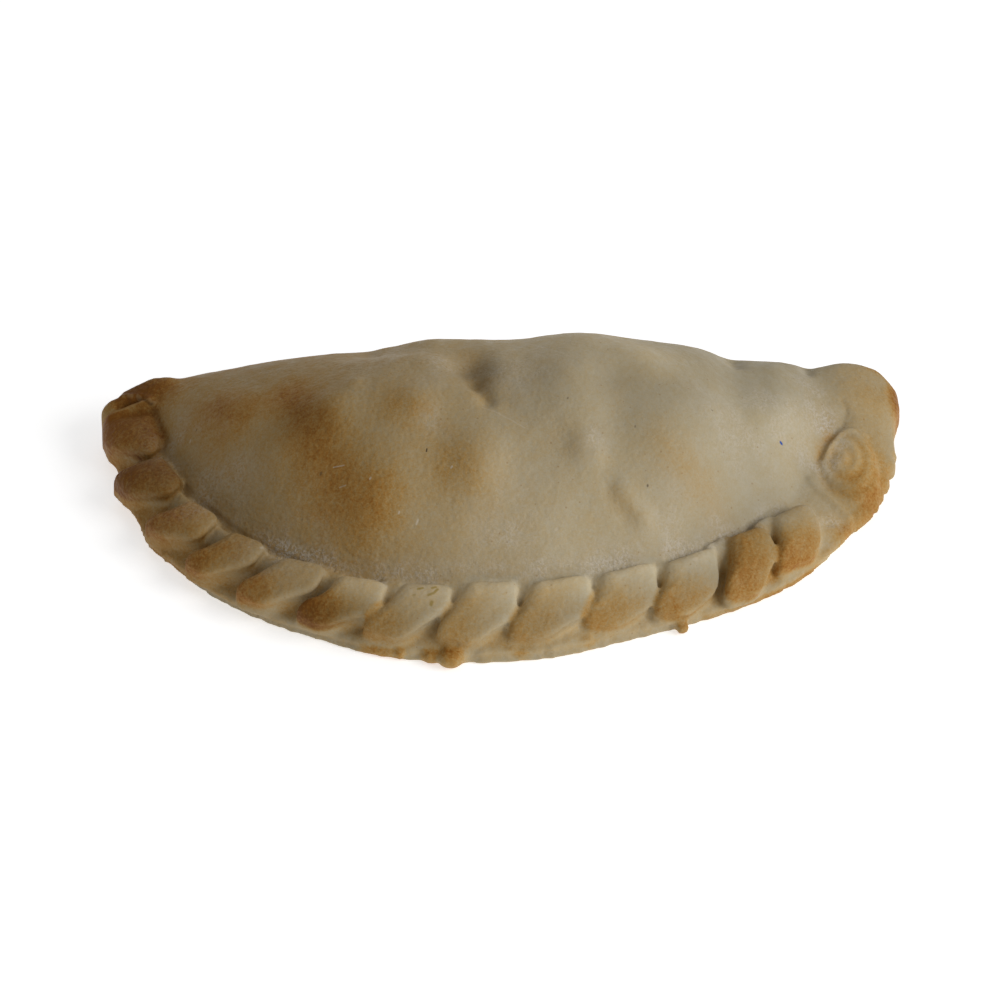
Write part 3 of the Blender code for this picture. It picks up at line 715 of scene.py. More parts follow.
def edge_bumps(angles, bumps):
    """Sum of bumps along the edge, each given by its angle, half width in degrees and size."""
    return sum(size * np.exp(-((angles - middle) / width) ** 2) for middle, width, size in bumps)


def ragged_edge(angles):
    """What the torn, crumbly stretches take off the sheet's reach."""
    along = np.zeros((len(angles), 3))
    along[:, 0] = angles * EDGE_PER_DEGREE
    tears = sum(depth * np.abs(grain(along, size, seed)) for depth, size, seed in RAGGED_GRAIN)
    return tears * edge_bumps(angles, RAGGED)


def sheet_reach(angles):
    """Reach of the underside sheet at angles."""
    ripple = sum(height * np.sin(angles * turn + start) for height, turn, start in SHEET_RIPPLES)
    return smooth_lookup(SHEET_REACH, angles) + ripple - edge_bumps(angles, SHEET_NOTCHES)


def web_reach(angles):
    """Reach of the upper layer, which the lower one shows past."""
    return sheet_reach(angles) - smooth_lookup(LOWER_SHOWS, angles)


def sheet_rings(levels, reach_at):
    """Half-moon outlines of a layer, one for each level, with a function for its reach at angles."""
    angles = np.linspace(SHEET_REACH[0][0], SHEET_REACH[-1][0], SHEET_STEPS)
    reach = reach_at(angles)
    rings = []
    for inset, height in levels:
        front = seam_points(angles, reach - inset, height)
        x = np.linspace(front[-1, 0] - SHEET_CORNER, front[0, 0] + SHEET_CORNER, SHEET_BACK_STEPS)
        y = smooth_lookup(DOME_BACK, x) - BACK_UNDERCUT - SHEET_TUCK - inset
        back = np.column_stack([x, y, np.full(len(x), height)])
        rings.append(np.vstack([front, back]))
    return rings


def make_sheets():
    """Thin lower layer with a ragged edge, and the wedge-shaped upper layer on it."""
    lower = sheet_rings(LOWER_LEVELS, lambda angles: sheet_reach(angles) - ragged_edge(angles))
    upper = sheet_rings(UPPER_LEVELS, lambda angles: web_reach(angles) - RAGGED_UPPER * ragged_edge(angles))
    return [loft(lower), loft(upper)]


def rounded_outline(corners, cuts, count):
    """Closed line through a polygon, its corners rounded by the given cuts, and the side of each point."""
    corners = np.array(corners, dtype=float)
    total = len(corners)
    cuts = np.broadcast_to(cuts, total)
    places = []
    sides = []
    for index in range(total):
        here = corners[index]
        before = corners[index - 1] - here
        after = corners[(index + 1) % total] - here
        room_before = np.linalg.norm(before)
        room_after = np.linalg.norm(after)
        start = here + before * min(cuts[index], CORNER_LIMIT * room_before) / room_before
        end = here + after * min(cuts[index], CORNER_LIMIT * room_after) / room_after
        pull = here + CORNER_PULL * (here - 0.5 * (start + end))
        for step in np.linspace(0, 1, CORNER_POINTS):
            places.append((1 - step) ** 2 * start + 2 * step * (1 - step) * pull + step ** 2 * end)
            sides.append(index - 1 + step)
    closed = np.array(places + places[:1])
    along = np.concatenate([[0], np.cumsum(np.linalg.norm(np.diff(closed, axis=0), axis=1))])
    even = np.linspace(0, along[-1], count, endpoint=False)
    outline = np.column_stack([np.interp(even, along, closed[:, axis]) for axis in (0, 1)])
    return outline, np.interp(even, along, sides + [total - 1])


def make_pad(outline, spine, top, lips, bottom):
    """Pad of dough: rings from its foot up over the edge and in to its spine, with top giving the height."""
    inward = nearest_on_line(outline, *spine)[0] - outline
    room = np.linalg.norm(inward, axis=1)
    inward /= room[:, None]
    soft_insets, soft_drops = spaced(SOFT_EDGE, PAD_STEPS)
    lip_insets, lip_drops = spaced(LIP_EDGE, PAD_STEPS)
    rings = []
    for step in range(PAD_STEPS):
        inset = soft_insets[step] * (1 - lips) + lip_insets[step] * lips
        drop = soft_drops[step] * (1 - lips) + lip_drops[step] * lips
        place = outline + inward * np.minimum(inset, PAD_ROOM * room)[:, None]
        height = top(place)
        squeeze = np.clip((height - bottom) / SOFT_EDGE[0][1], 0, 1)
        rings.append(np.column_stack([place, np.maximum(height - drop * squeeze, bottom)]))
    last_place = rings[-1][:, :2]
    for share in PAD_FILL:
        place = last_place + (nearest_on_line(outline, *spine)[0] - last_place) * share
        rings.append(np.column_stack([place, top(place)]))
    return loft(rings)


def fold_ends(index):
    """Radii of a fold's inner and outer end."""
    corners = FOLDS[index][0]
    return corners[0][1], 0.5 * (corners[3][1] + corners[4][1])


def fold_top(index, place):
    """Height of a fold: it droops to its outer end."""
    inner, outer = fold_ends(index)
    _, radii = seam_place(place)
    share = np.clip((radii - inner) / (outer + FOLD_REACH - inner), 0, 1)
    height = FOLDS[index][1]
    end = FOLD_END_HEIGHTS[index]
    return end + (height - end) * (1 - share ** FOLD_DROOP[0]) ** FOLD_DROOP[1]


def left_middle(index):
    """Angle and radius of the middle of a fold's hollow left side."""
    corners, _, hollow = FOLDS[index]
    inner = np.array(corners[0])
    outer = np.array(corners[4])
    return tuple(inner + LEFT_MIDDLE * (outer - inner) + np.array([hollow, 0.0]))


def make_fold(index):
    """One flap of the rope, with a steep rounded left side and a thin lip on its right."""
    places = FOLDS[index][0] + (left_middle(index),)
    corners = [seam_points(np.array([angle]), radius, 0.0)[0, :2] for angle, radius in places]
    outline, sides = rounded_outline(corners, FOLD_CORNER_CUTS, PAD_POINTS)
    lips = np.interp(sides, np.arange(-1, len(FOLD_LIPS)), (FOLD_LIPS[-1],) + FOLD_LIPS)
    inner = 0.5 * (corners[0] + corners[1])
    outer = 0.5 * (corners[3] + corners[4])
    spine = [inner + share * (outer - inner) for share in FOLD_SPINE]
    return make_pad(outline, spine, lambda place: fold_top(index, place), lips, FOLD_BOTTOM)


def edge_angles(index, radius):
    """Angles of a fold's left and right edge at a radius."""
    inner_left, inner_right, right_middle, outer_right, outer_left = FOLDS[index][0]
    sides = (inner_left, left_middle(index), outer_left), (inner_right, right_middle, outer_right)
    return [np.interp(radius, [place[1] for place in side], [place[0] for place in side]) for side in sides]


def make_web(index):
    """Tongue of dough in the gap between a fold and the next, from the dome out to the edge."""
    across, lift = np.array(WEB_SECTION).T
    inner = 0.5 * (FOLDS[index][0][1][1] + FOLDS[index + 1][0][0][1]) - WEB_STARTS[index]
    outer = float(web_reach(0.5 * (FOLDS[index][0][3][0] + FOLDS[index + 1][0][4][0])))
    rings = []
    for share in np.linspace(0, 1, WEB_RINGS):
        radius = inner + (outer - inner) * share
        left = edge_angles(index, radius)[1]
        right = edge_angles(index + 1, radius)[0]
        half = math.radians(0.5 * abs(right - left)) * radius + WEB_TUCK
        top = smooth_lookup(WEB_PROFILE, share) - WEB_DROPS[index] * (1 - ease(share, *WEB_DROP_SPAN))
        angles = 0.5 * (left + right) + np.degrees(half * across / radius)
        rings.append(seam_points(angles, radius, FOLD_BOTTOM + (top - FOLD_BOTTOM) * lift))
    return loft(rings)


def make_last_web():
    """Flat pale fold between the rope and the knob."""
    outline, _ = rounded_outline(LAST_WEB_OUTLINE, LAST_WEB_CUT, PAD_POINTS)
    return make_pad(outline, LAST_WEB_SPINE, lambda place: fall_between(place, LAST_WEB_FALL), LAST_WEB_LIP,
                    FOLD_BOTTOM)


def knob_top(place):
    """Height of the knob, which is tilted down to the front and to the right."""
    start, end, depth = KNOB_TILT
    return fall_between(place, KNOB_FALL) - depth * ease(place[:, 0], start, end)


def make_knob():
    """Coiled knob that ends the rope on the right."""
    outline, _ = rounded_outline(KNOB_OUTLINE, KNOB_CUT, PAD_POINTS)
    turn = np.arctan2(outline[:, 1] - KNOB_PLACE[1], outline[:, 0] - KNOB_PLACE[0])
    lips = 0.5 + 0.5 * np.cos(turn - math.radians(KNOB_LIP_TURN))
    return make_pad(outline, KNOB_SPINE, knob_top, lips, KNOB_BOTTOM)


def right_flap_top(place):
    """Height of the right end: it falls off to the right and to the front."""
    (start, end, depth, power), (front, slope) = RIGHT_FLAP_FALLS
    fall = depth * np.clip((place[:, 0] - start) / (end - start), 0, 1) ** power
    return RIGHT_FLAP_TOP - fall - slope * np.clip(front - place[:, 1], 0, None)


def make_right_flap():
    """Flap that closes the right tip and that the knob is pressed on."""
    outline, _ = rounded_outline(RIGHT_FLAP_OUTLINE, RIGHT_FLAP_CUT, TORN_PAD_POINTS)
    angles, radii = seam_place(outline)
    outline = seam_points(angles, radii - edge_bumps(angles, SHEET_NOTCHES), 0.0)[:, :2]
    return make_pad(outline, RIGHT_FLAP_SPINE, right_flap_top, RIGHT_FLAP_LIP, RIGHT_FLAP_BOTTOM)


def left_flap_top(place):
    """Height of the left flap: it falls to the tip and to the front."""
    start, slope = LEFT_FLAP_SLOPE
    return fall_between(place, LEFT_FLAP_FALL) - slope * np.clip(start - place[:, 1], 0, None)


def make_left_flap():
    """Torn flap above the first fold."""
    outline, _ = rounded_outline(LEFT_FLAP_OUTLINE, LEFT_FLAP_CUT, PAD_POINTS)
    return make_pad(outline, LEFT_FLAP_SPINE, left_flap_top, LEFT_FLAP_LIP, LEFT_FLAP_BOTTOM)


def make_mound(place, radii, heights, levels, uneven, turned=0.0):
    """Round cushion: rings of the given share of the radii at the given share of the height."""
    amount, seed = uneven
    turn = np.linspace(0, 2 * math.pi, MOUND_POINTS, endpoint=False)
    circle = np.column_stack([np.cos(turn), np.sin(turn)])
    wobble = 1 + amount * grain(np.column_stack([circle, np.zeros(len(turn))]), MOUND_GRAIN, seed)
    rings = []
    for reach, rise in zip(*spaced(levels, MOUND_RINGS)):
        along = radii[0] * reach * wobble * circle[:, 0]
        across = radii[1] * reach * wobble * circle[:, 1]
        x = place[0] + along * math.cos(turned) - across * math.sin(turned)
        y = place[1] + along * math.sin(turned) + across * math.cos(turned)
        height = heights[0] + (heights[1] - heights[0]) * rise
        rings.append(np.column_stack([x, y, np.full(len(turn), height)]))
    return loft(rings)


def make_left_foot():
    """Dough under the left flap, down to the underside."""
    place, radii, height = LEFT_FLAP_FOOT
    return make_mound(place, radii, (FOOT_BOTTOM, height), FOOT_LEVELS, FOOT_UNEVEN)


def make_drip(angle, radius, length, depth, height):
    """Small baked drip at the foot of the rope."""
    place = seam_points(np.array([angle]), radius, 0.0)[0, :2]
    uneven = (DRIP_UNEVEN, int(angle))
    return make_mound(place, (length, depth), (DRIP_BOTTOM, height), DRIP_LEVELS, uneven,
                      math.radians(angle - 270))


def join_shells(shells):
    """One mesh object, in metres in the part's frame, of closed shells that overlap."""
    vertices = []
    faces = []
    start = 0
    for points, sides in shells:
        vertices.append(points)
        faces += [[corner + start for corner in side] for side in sides]
        start += len(points)
    vertices = MM * (np.vstack(vertices) - np.array(BASE_MIDDLE))
    mesh = bpy.data.meshes.new("crust")
    mesh.from_pydata(vertices.tolist(), [], faces)
    mesh.validate()
    piece = bpy.data.objects.new("crust", mesh)
    bpy.context.scene.collection.objects.link(piece)
    return piece


def melt_together(piece):
    """Remesh overlapping shells into one skin and soften it."""
    remesh = piece.modifiers.new("remesh", "REMESH")
    remesh.mode = "VOXEL"
    remesh.voxel_size = VOXEL * MM
    smooth = piece.modifiers.new("smooth", "SMOOTH")
    smooth.factor = SMOOTHING_FACTOR
    smooth.iterations = SMOOTHING_STEPS
    bpy.context.view_layer.update()
    evaluated = piece.evaluated_get(bpy.context.evaluated_depsgraph_get())
    mesh = bpy.data.meshes.new_from_object(evaluated)
    piece.modifiers.clear()
    piece.data = mesh
    piece.data.shade_smooth()


def read_points(mesh):
    """Vertex places in the drawing, in millimetres, and vertex normals."""
    points = np.empty(len(mesh.vertices) * 3, dtype=np.float32)
    mesh.vertices.foreach_get("co", points)
    normals = np.empty(len(mesh.vertices) * 3, dtype=np.float32)
    mesh.vertex_normals.foreach_get("vector", normals)
    points = points.reshape(-1, 3).astype(float) / MM + np.array(BASE_MIDDLE)
    return points, normals.reshape(-1, 3).astype(float)


def write_points(mesh, points):
    """Put vertices at places of the drawing."""
    places = MM * (points - np.array(BASE_MIDDLE))
    mesh.vertices.foreach_set("co", places.astype(np.float32).ravel())
    mesh.update()


def vertex_edges(mesh):
    """Vertex pairs of a mesh's edges."""
    edges = np.empty(len(mesh.edges) * 2, dtype=np.int32)
    mesh.edges.foreach_get("vertices", edges)
    return edges.reshape(-1, 2)


def neighbour_mean(values, edges):
    """Mean of each point's neighbours, for one value or several for each point."""
    counts = np.bincount(edges.ravel(), minlength=len(values)).astype(float)
    starts, ends = edges.T
    totals = [np.bincount(starts, column[ends], len(values)) + np.bincount(ends, column[starts], len(values))
              for column in values.reshape(len(values), -1).T]
    return (np.array(totals) / counts).T.reshape(values.shape)


def soften(points, edges, weight, steps):
    """Average points with their neighbours, as far as their weight says."""
    for _ in range(steps):
        points = points + 0.5 * weight[:, None] * (neighbour_mean(points, edges) - points)
    return points


def spread(values, edges, steps):
    """Average one value of each point with its neighbours'."""
    for _ in range(steps):
        values = 0.5 * (values + neighbour_mean(values, edges))
    return values


def hollowness(points, normals, edges):
    """Above 0 in hollows and below 0 on ridges, one over millimetres."""
    away = neighbour_mean(points, edges) - points
    return spread(np.sum(away * normals, axis=1) / VOXEL ** 2, edges, HOLLOW_SPREAD)


def knob_coil(points):
    """Faint spiral of the knob, from -1 to 1, and how far a point is from its middle."""
    x = (points[:, 0] - KNOB_PLACE[0]) / KNOB_COIL[0]
    y = (points[:, 1] - KNOB_PLACE[1]) / KNOB_COIL[1]
    reach = np.hypot(x, y)
    turn = np.arctan2(y, x) / (2 * math.pi)
    return np.cos(2 * math.pi * (COIL_TURNS * reach - turn)) * window(reach, COIL_SPAN), reach


def pits_of(points):
    """1 in the middle of the small pits between the folds, falling to 0 round them."""
    angles, radii = seam_place(points)
    pits = np.zeros(len(points))
    for angle, radius in PITS:
        lean = np.radians(angles - angle) * radius + PIT_LEAN * (radii - radius)
        pits += np.exp(-np.hypot(lean / PIT_RADII[0], (radii - radius) / PIT_RADII[1]) ** 2)
    return pits * (1 - ease(points[:, 2], *PIT_TOP))


def carve(points):
    """Height that creases, ridges and pits take off or add."""
    coil, reach = knob_coil(points)
    carving = COIL_DEPTH * coil + KNOB_MIDDLE[0] * np.exp(-(reach / KNOB_MIDDLE[1]) ** 2)
    for line, width, depth in CARVED_LINES:
        carving -= depth * near_line(points, line, width)
    return carving - PIT_DEPTH * pits_of(points)


def shape_details(mesh):
    """Soften the places where dough runs over, carve the small forms and roughen the skin."""
    points, _ = read_points(mesh)
    edges = vertex_edges(mesh)
    for place, radii, steps, low in SOFT_PLACES:
        weight = ease(points[:, 2], low, low + SOFT_FADE)
        weight = weight * np.minimum(1, SOFT_STRENGTH * blob(points, place, radii))
        points = soften(points, edges, weight, steps)
    write_points(mesh, points)
    points, normals = read_points(mesh)
    points[:, 2] += carve(points) * ease(normals[:, 2], *CARVED_TILT) * ease(points[:, 2], *CARVED_LOW)
    points += normals * (grains(points, SKIN_GRAIN) * ease(points[:, 2], *SKIN_LOW))[:, None]
    write_points(mesh, points)


def fold_share(index, points, angles, radii):
    """Share of the way out along a fold, share across it, and how much a point belongs to it."""
    left, right = edge_angles(index, radii)
    across = (angles - left) / (right - left)
    inner, outer = fold_ends(index)
    out = (radii - inner) / (outer - inner)
    above = points[:, 2] - fold_top(index, points[:, :2])
    return out, across, window(across, FOLD_ACROSS) * window(out, FOLD_OUT) * window(above, FOLD_DEPTH)


def blend(values, others, share):
    """Values, or the others as far as the share says."""
    return values * (1 - share) + others * share


def dome_browning_and_shade(points):
    """Browning of the dome and what lies round it, with painted shade beside a small ridge."""
    browning_and_shade = smooth_lookup(DOUGH_BROWNING, points[:, 0])
    for line, width, amount in DOME_BROWNING_AND_SHADE:
        browning_and_shade = browning_and_shade + amount * near_line(points, line, width)
    return browning_and_shade


def fold_browning(index, out, across):
    """Browning of a fold, at shares of the way out and across."""
    inner, outer, middle = FOLD_BROWNING[index]
    amount = blend(inner, outer, ease(out + FOLD_LEAN[0] * (FOLD_LEAN[1] - across), *FOLD_RISE))
    (out_place, out_width), (across_place, across_width) = FOLD_SPOT
    away = np.hypot((out - out_place) / out_width, (across - across_place) / across_width)
    amount += middle * np.exp(-away ** 2)
    paler, start, end = FOLD_PALE_RIGHT
    amount -= paler * ease(across, start, end)
    paler, start, end = FOLD_PALE_INNER
    return amount - paler * (1 - ease(out, start, end))


def browning_of(points):
    """Browning of every point, from 0 to 1, with painted shade in the crack by the knob and beside a small
    ridge.
    """
    x, y, z = points.T
    angles, radii = seam_place(points)
    right_end = ease(x, *RIGHT_END_X) * ease(y - RIGHT_END_LEAN * x, *RIGHT_END_Y)
    rope = ease(radii, *ROPE_START) * (1 - right_end) * (y < ROPE_BACK)
    weaker, low, high = WEB_WEAKER
    web = smooth_lookup(WEB_BROWNING, angles) * (1 - weaker * ease(z, low, high))
    browning_and_shade = blend(dome_browning_and_shade(points), web, rope)
    rim = (1 - ease(web_reach(angles) - radii, *EDGE_WIDTH)) * ease(z, *EDGE_LOW) * ease(angles, *EDGE_ANGLES)
    browning_and_shade = blend(browning_and_shade, EDGE_BROWNING, rim)
    for index in range(len(FOLDS)):
        out, across, belongs = fold_share(index, points, angles, radii)
        browning_and_shade = blend(browning_and_shade, fold_browning(index, out, across), belongs)
    lower = (1 - ease(z, *LOWER_TOP)) * (angles > LOWER_ANGLES[0]) * (angles < LOWER_ANGLES[1])
    browning_and_shade = blend(browning_and_shade, LOWER_BROWNING, lower)
    for angle, radius, length, depth, height in DRIPS:
        along = np.radians(angles - angle) * radius / (DRIP_SPREAD[0] * length)
        away = np.hypot(along, (radii - radius) / (DRIP_SPREAD[1] * depth))
        low = 1 - ease(z, height, height + DRIP_FADE)
        browning_and_shade = np.maximum(browning_and_shade, DRIP_BROWNING * np.exp(-away ** 4) * low)
    for place, place_radii, amount in END_BROWNING_AND_SHADE:
        browning_and_shade = browning_and_shade + amount * blob(points, place, place_radii)
    browning_and_shade = browning_and_shade - COIL_BROWNING * knob_coil(points)[0] * ease(z, *COIL_LOW)
    return np.clip(browning_and_shade + PIT_BROWNING * pits_of(points), 0, 1)


def flour_of(points, normals):
    """How floury every point is, from 0 to 1."""
    angles, radii = seam_place(points)
    corners = [corner for fold in FOLDS for corner in fold[0][:2]]
    edge = np.interp(angles, [corner[0] for corner in corners], [corner[1] for corner in corners])
    inside, width = FLOURY_STRIP
    foot = np.exp(-((radii - edge + inside) / width) ** 2) * ease(points[:, 2], *FLOURY_LOW)
    flour = np.zeros(len(points))
    for stretch in FLOURY:
        flour = np.maximum(flour, foot * edge_bumps(angles, [stretch]))
    for x, y, radius, amount in FLOUR_PATCHES:
        flour = np.maximum(flour, amount * blob(points, (x, y), (radius, radius)))
    uneven = FLOUR_STRENGTH + grains(points, FLOUR_GRAIN)
    return np.clip(flour * uneven * ease(normals[:, 2], *FLOUR_TILT), 0, 1)


def tone_and_light_of(points):
    """How light every point is, 1 for the usual tone: the bake's own tone with painted light and shade."""
    tone_and_painted_light = smooth_lookup(TONES_AND_LIGHT_ALONG, points[:, 0])
    for x, y, radius, change in TONE_AND_LIGHT_PATCHES:
        tone_and_painted_light = tone_and_painted_light + change * blob(points, (x, y), (radius, radius))
    angles, radii = seam_place(points)
    limit, rise, start, end = INNER_TONE
    for index, (inner, outer) in enumerate(FOLD_TONES_AND_LIGHT):
        out, _, belongs = fold_share(index, points, angles, radii)
        change = blend(inner, outer, ease(out, *FOLD_TONE_SPAN))
        change = np.minimum(change, limit + rise * ease(out, start, end))
        tone_and_painted_light = blend(tone_and_painted_light, change, belongs)
    # Painted shade in the pits between the folds.
    return tone_and_painted_light * (1 - PIT_SHADE * np.clip(pits_of(points), 0, 1))


def colour_places(mesh):
    """Store how browned, floury, hollow and light each point is, painted light and shade included."""
    points, normals = read_points(mesh)
    edges = vertex_edges(mesh)
    browning_and_shade = spread(browning_of(points), edges, BROWNING_SPREAD)
    stored = {"browning_and_shade": browning_and_shade, "flour": flour_of(points, normals),
              "hollow": hollowness(points, normals, edges), "tone_and_painted_light": tone_and_light_of(points)}
    for name, values in stored.items():
        attribute = mesh.attributes.new(name, "FLOAT", "POINT")
        attribute.data.foreach_set("value", values.astype(np.float32))


def stage_material():
    """White paper."""
    material = bpy.data.materials.new("paper")
    material.use_nodes = True
    shader = material.node_tree.nodes["Principled BSDF"]
    shader.inputs["Base Color"].default_value = PAPER_COLOUR
    shader.inputs["Roughness"].default_value = PAPER_ROUGHNESS
    shader.inputs["Specular IOR Level"].default_value = 0.0
    shader.inputs["Emission Color"].default_value = WHITE
    shader.inputs["Emission Strength"].default_value = PAPER_GLOW
    return material


class Wiring:
    """Adds nodes to a material and joins them."""

    def __init__(self, tree):
        self.tree = tree

    def node(self, kind, inputs=(), **settings):
        """New node with the given settings; inputs are pairs of socket and value or output."""
        node = self.tree.nodes.new(kind)
        for name, value in settings.items():
            setattr(node, name, value)
        for socket, value in inputs:
            if isinstance(value, bpy.types.NodeSocket):
                self.tree.links.new(value, node.inputs[socket])
            else:
                node.inputs[socket].default_value = value
        return node

    def maths(self, operation, first, second, clamp=False):
        """Result of two numbers."""
        node = self.node("ShaderNodeMath", ((0, first), (1, second)), operation=operation, use_clamp=clamp)
        return node.outputs[0]

    def add(self, first, second, clamp=False):
        """Sum of two numbers, kept from 0 to 1 where it is clamped."""
        return self.maths("ADD", first, second, clamp)

    def times(self, first, second):
        """Product of two numbers."""
        return self.maths("MULTIPLY", first, second)

    def vectors(self, operation, first, second):
        """Outputs of two vectors, or of a vector and the number that scales it."""
        socket = 3 if operation == "SCALE" else 1
        return self.node("ShaderNodeVectorMath", ((0, first), (socket, second)), operation=operation).outputs

    def attribute(self, name):
        """Number stored on the points."""
        return self.node("ShaderNodeAttribute", attribute_name=name).outputs["Fac"]

    def noise(self, place, size, detail, roughness):
        """Smooth noise from 0 to 1 with lumps of a size in millimetres."""
        inputs = (("Vector", place), ("Scale", 1.0 / size), ("Detail", detail), ("Roughness", roughness))
        return self.node("ShaderNodeTexNoise", inputs).outputs["Fac"]

    def cells(self, place, size, feature):
        """Outputs of a cell pattern with cells of a size in millimetres."""
        inputs = (("Vector", place), ("Scale", 1.0 / size), ("Randomness", 1.0))
        return self.node("ShaderNodeTexVoronoi", inputs, feature=feature).outputs

    def between(self, value, low, high, low_result=0.0, high_result=1.0):
        """Soft step of a number between two bounds."""
        inputs = ((0, value), (1, low), (2, high), (3, low_result), (4, high_result))
        return self.node("ShaderNodeMapRange", inputs, interpolation_type="SMOOTHSTEP").outputs[0]

    def sum_of(self, noises, weights):
        """Weighted sum of noises, each taken from its middle."""
        total = 0.0
        for noise, weight in zip(noises, weights):
            total = self.add(self.times(self.maths("SUBTRACT", noise, 0.5), weight), total)
        return total

    def strokes(self, place, strokes):
        """Strength of short strokes, seen from above; each is start, end, half width and strength."""
        flat = self.vectors("MULTIPLY", place, (1.0, 1.0, 0.0))[0]
        height = self.node("ShaderNodeSeparateXYZ", ((0, place),)).outputs[2]
        total = 0.0
        for start, end, width, strength in strokes:
            along = (end[0] - start[0], end[1] - start[1], 0.0)
            length = along[0] ** 2 + along[1] ** 2
            away = self.vectors("SUBTRACT", flat, start + (0.0,))[0]
            share = self.vectors("DOT_PRODUCT", away, (along[0] / length, along[1] / length, 0.0))[1]
            foot = self.vectors("SCALE", along, self.add(share, 0.0, True))[0]
            gap = self.vectors("DISTANCE", away, foot)[1]
            stroke = self.between(gap, STROKE_EDGE[0] * width, STROKE_EDGE[1] * width, strength, 0.0)
            total = self.maths("MAXIMUM", stroke, total)
        return self.times(total, self.between(height, *STROKES_ABOVE))

    def mix(self, share, first, second, blend_type="MIX"):
        """Mix of a colour with another, which is an output or three numbers."""
        if isinstance(second, tuple):
            second = second + (1.0,)
        inputs = ((0, share), (6, first), (7, second))
        return self.node("ShaderNodeMix", inputs, data_type="RGBA", blend_type=blend_type).outputs[2]

    def ramp(self, level, colours):
        """Colour at a level along a ramp of colours."""
        node = self.node("ShaderNodeValToRGB", (("Fac", level),))
        node.color_ramp.interpolation = "B_SPLINE"
        while len(node.color_ramp.elements) < len(colours):
            node.color_ramp.elements.new(1.0)
        for element, (position, colour) in zip(node.color_ramp.elements, colours):
            element.position = position
            element.color = colour + (1.0,)
        return node.outputs["Color"]


def crust_material():
    """Baked dough: pale to brown, mottled, with floury patches, specks, a leathery skin, and painted light
    and shade.
    """
    material = bpy.data.materials.new("crust")
    material.use_nodes = True
    tree = material.node_tree
    shader = tree.nodes["Principled BSDF"]
    nodes = Wiring(tree)
    place = nodes.vectors("SCALE", nodes.node("ShaderNodeTexCoord").outputs["Object"], 1.0 / MM)[0]
    noises = [nodes.noise(place, *settings) for settings in (CLOUD, SPECKLE, FINE)]
    browning_and_shade = nodes.attribute("browning_and_shade")
    # Flour sits in grains.
    granules = nodes.between(nodes.noise(place, *GRANULES), *GRANULE_SPAN)
    dusting = nodes.add(nodes.times(granules, DUSTING[1]), DUSTING[0])
    dusted = nodes.maths("MULTIPLY", nodes.attribute("flour"), dusting, True)
    colour = nodes.mix(dusted, baked_colour(nodes, place, noises, browning_and_shade), FLOUR_COLOUR)
    colour = relief_shade_and_highlight(nodes, colour)
    colour = marks_and_painted_light(nodes, place, colour)
    # Lighter and darker stretches: the bake's own tone with painted light and shade.
    tree.links.new(nodes.vectors("SCALE", colour, nodes.attribute("tone_and_painted_light"))[0], shader.inputs["Base Color"])
    height = skin_height(nodes, place, noises, browning_and_shade, nodes.times(granules, dusted))
    bump = nodes.node("ShaderNodeBump", (("Strength", 1.0), ("Distance", MM), ("Height", height)))
    tree.links.new(bump.outputs[0], shader.inputs["Normal"])
    rough = nodes.between(noises[0], *ROUGH_SPAN, *ROUGH_ENDS)
    rough = nodes.add(nodes.times(dusted, FLOUR_ROUGHNESS), rough, True)
    tree.links.new(rough, shader.inputs["Roughness"])
    shader.inputs["Specular IOR Level"].default_value = CRUST_SPECULAR
    return material


def baked_colour(nodes, place, noises, browning_and_shade):
    """Browning, unevenly: broad clouds everywhere, speckles where it is browned; then faint mottling."""
    strength = nodes.add(nodes.times(browning_and_shade, WANDER_STRENGTH[1]), WANDER_STRENGTH[0])
    wander = nodes.sum_of([nodes.noise(place, *BROAD)] + noises, WANDER_WEIGHTS)
    colour = nodes.ramp(nodes.add(browning_and_shade, nodes.times(wander, strength), True), DOUGH_RAMP)
    mottles = [nodes.noise(place, *settings) for settings in MOTTLES]
    mottle = nodes.sum_of(mottles + noises[2:], MOTTLE_WEIGHTS)
    return nodes.mix(nodes.between(mottle, *MOTTLE_SPAN), colour, MOTTLE_COLOUR, "MULTIPLY")


def relief_shade_and_highlight(nodes, colour):
    """Painted shade and highlight: hollows are darker and warmer, ridges a little paler."""
    hollow = nodes.attribute("hollow")
    hollow_shade = nodes.between(hollow, *HOLLOW_SPAN)
    colour = nodes.mix(nodes.times(hollow_shade, HOLLOW_SHADE_STRENGTH), colour, HOLLOW_SHADE_COLOUR)
    ridge = nodes.between(nodes.times(hollow, -1.0), *RIDGE_SPAN)
    return nodes.mix(nodes.times(ridge, RIDGE_HIGHLIGHT_STRENGTH), colour, RIDGE_HIGHLIGHT_COLOUR)


def marks_and_painted_light(nodes, place, colour):
    """Tiny brown specks and the small marks of the crust, with painted glints, a painted highlight on the
    first fold's lip and painted shade in the pits under the torn edge.
    """
    spots = nodes.cells(place, SPECK_CELLS, "F1")
    chance = nodes.node("ShaderNodeSeparateColor", ((0, spots["Color"]),)).outputs[0]
    size = nodes.times(nodes.between(chance, *SPECK_CHANCE), SPECK_SIZE)
    speck = nodes.between(nodes.maths("SUBTRACT", size, spots["Distance"]), *SPECK_EDGE)
    colour = nodes.mix(nodes.times(speck, SPECK_STRENGTH), colour, SPECK_COLOUR)
    for strokes, stroke_colour in MARKS_AND_PAINTED_LIGHT:
        colour = nodes.mix(nodes.strokes(place, strokes), colour, stroke_colour)
    return colour


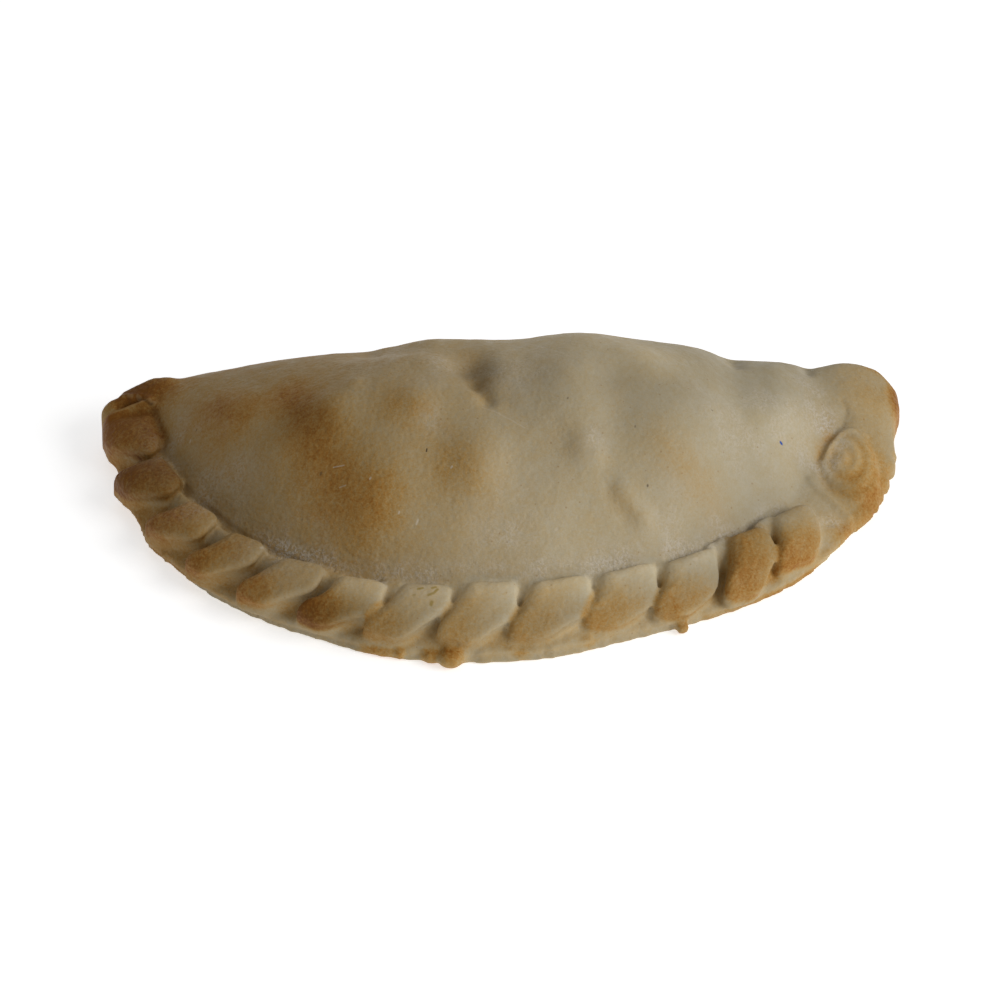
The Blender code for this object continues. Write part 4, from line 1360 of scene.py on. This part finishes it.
def skin_height(nodes, place, noises, browning_and_shade, crumbs):
    """Skin: fine pores, coarser and deeper where it is browned, and crumbs of flour."""
    cloud, speckle, fine = noises
    leather = nodes.cells(place, LEATHER_CELLS, "SMOOTH_F1")["Distance"]
    height = nodes.times(leather, nodes.add(nodes.times(browning_and_shade, PORE_HEIGHT[1]), PORE_HEIGHT[0]))
    for part, share in ((speckle, SPECKLE_HEIGHT), (fine, FINE_HEIGHT), (crumbs, CRUMB_HEIGHT),
                        (cloud, CLOUD_HEIGHT)):
        height = nodes.add(height, nodes.times(part, share))
    return height


def make_floor():
    """Plain pale floor just under the part."""
    mesh = bpy.data.meshes.new("floor")
    corners = [(-1, -1), (1, -1), (1, 1), (-1, 1)]
    mesh.from_pydata([(FLOOR_HALF * x, FLOOR_HALF * y, 0.0) for x, y in corners], [], [(0, 1, 2, 3)])
    floor = bpy.data.objects.new("floor", mesh)
    floor.location.z = -FLOOR_GAP * MM
    bpy.context.scene.collection.objects.link(floor)
    mesh.materials.append(stage_material())


def make_lamp(name, direction, distance, size, power):
    """Soft square lamp that faces the part from a direction."""
    light = bpy.data.lights.new(name, "AREA")
    light.shape = "SQUARE"
    light.size = size
    light.energy = power
    lamp = bpy.data.objects.new(name, light)
    turn, height = np.radians(direction)
    away = Vector((math.cos(height) * math.cos(turn), math.cos(height) * math.sin(turn), math.sin(height)))
    lamp.location = distance * away
    lamp.rotation_euler = away.to_track_quat("Z", "Y").to_euler()
    bpy.context.scene.collection.objects.link(lamp)


def make_lighting():
    """Even surrounding light, a soft lamp low on the right and a weak one behind."""
    world = bpy.data.worlds.new("studio")
    bpy.context.scene.world = world
    world.use_nodes = True
    background = world.node_tree.nodes["Background"]
    background.inputs["Color"].default_value = WHITE
    background.inputs["Strength"].default_value = WORLD_STRENGTH
    for lamp in LAMPS:
        make_lamp(*lamp)


def make_camera():
    """Camera at the photograph's angle."""
    camera = bpy.data.cameras.new("camera")
    camera.lens = CAMERA_LENS
    camera.sensor_width = CAMERA_SENSOR
    camera.clip_start = CAMERA_NEAR * MM
    item = bpy.data.objects.new("camera", camera)
    tilt = math.radians(CAMERA_ELEVATION)
    target = MM * np.array(CAMERA_TARGET)
    item.location = target + MM * CAMERA_DISTANCE * np.array([0.0, -math.cos(tilt), math.sin(tilt)])
    item.rotation_euler = (math.radians(90.0 - CAMERA_ELEVATION), 0.0, 0.0)
    bpy.context.scene.collection.objects.link(item)
    bpy.context.scene.camera = item
    bpy.context.scene.view_settings.view_transform = "Standard"


def make_empanada():
    """The crust as one skin."""
    shells = [make_dome()] + make_sheets()
    shells += [make_fold(index) for index in range(len(FOLDS))]
    shells += [make_web(index) for index in range(len(FOLDS) - 1)]
    shells += [make_last_web(), make_knob(), make_right_flap(), make_left_flap(), make_left_foot()]
    shells += [make_drip(*drip) for drip in DRIPS]
    piece = join_shells(shells)
    melt_together(piece)
    shape_details(piece.data)
    colour_places(piece.data)
    piece.data.materials.append(crust_material())
    return piece


make_camera()
make_lighting()
make_floor()
empanada = make_empanada()
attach(empanada, "root")
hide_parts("empanada")
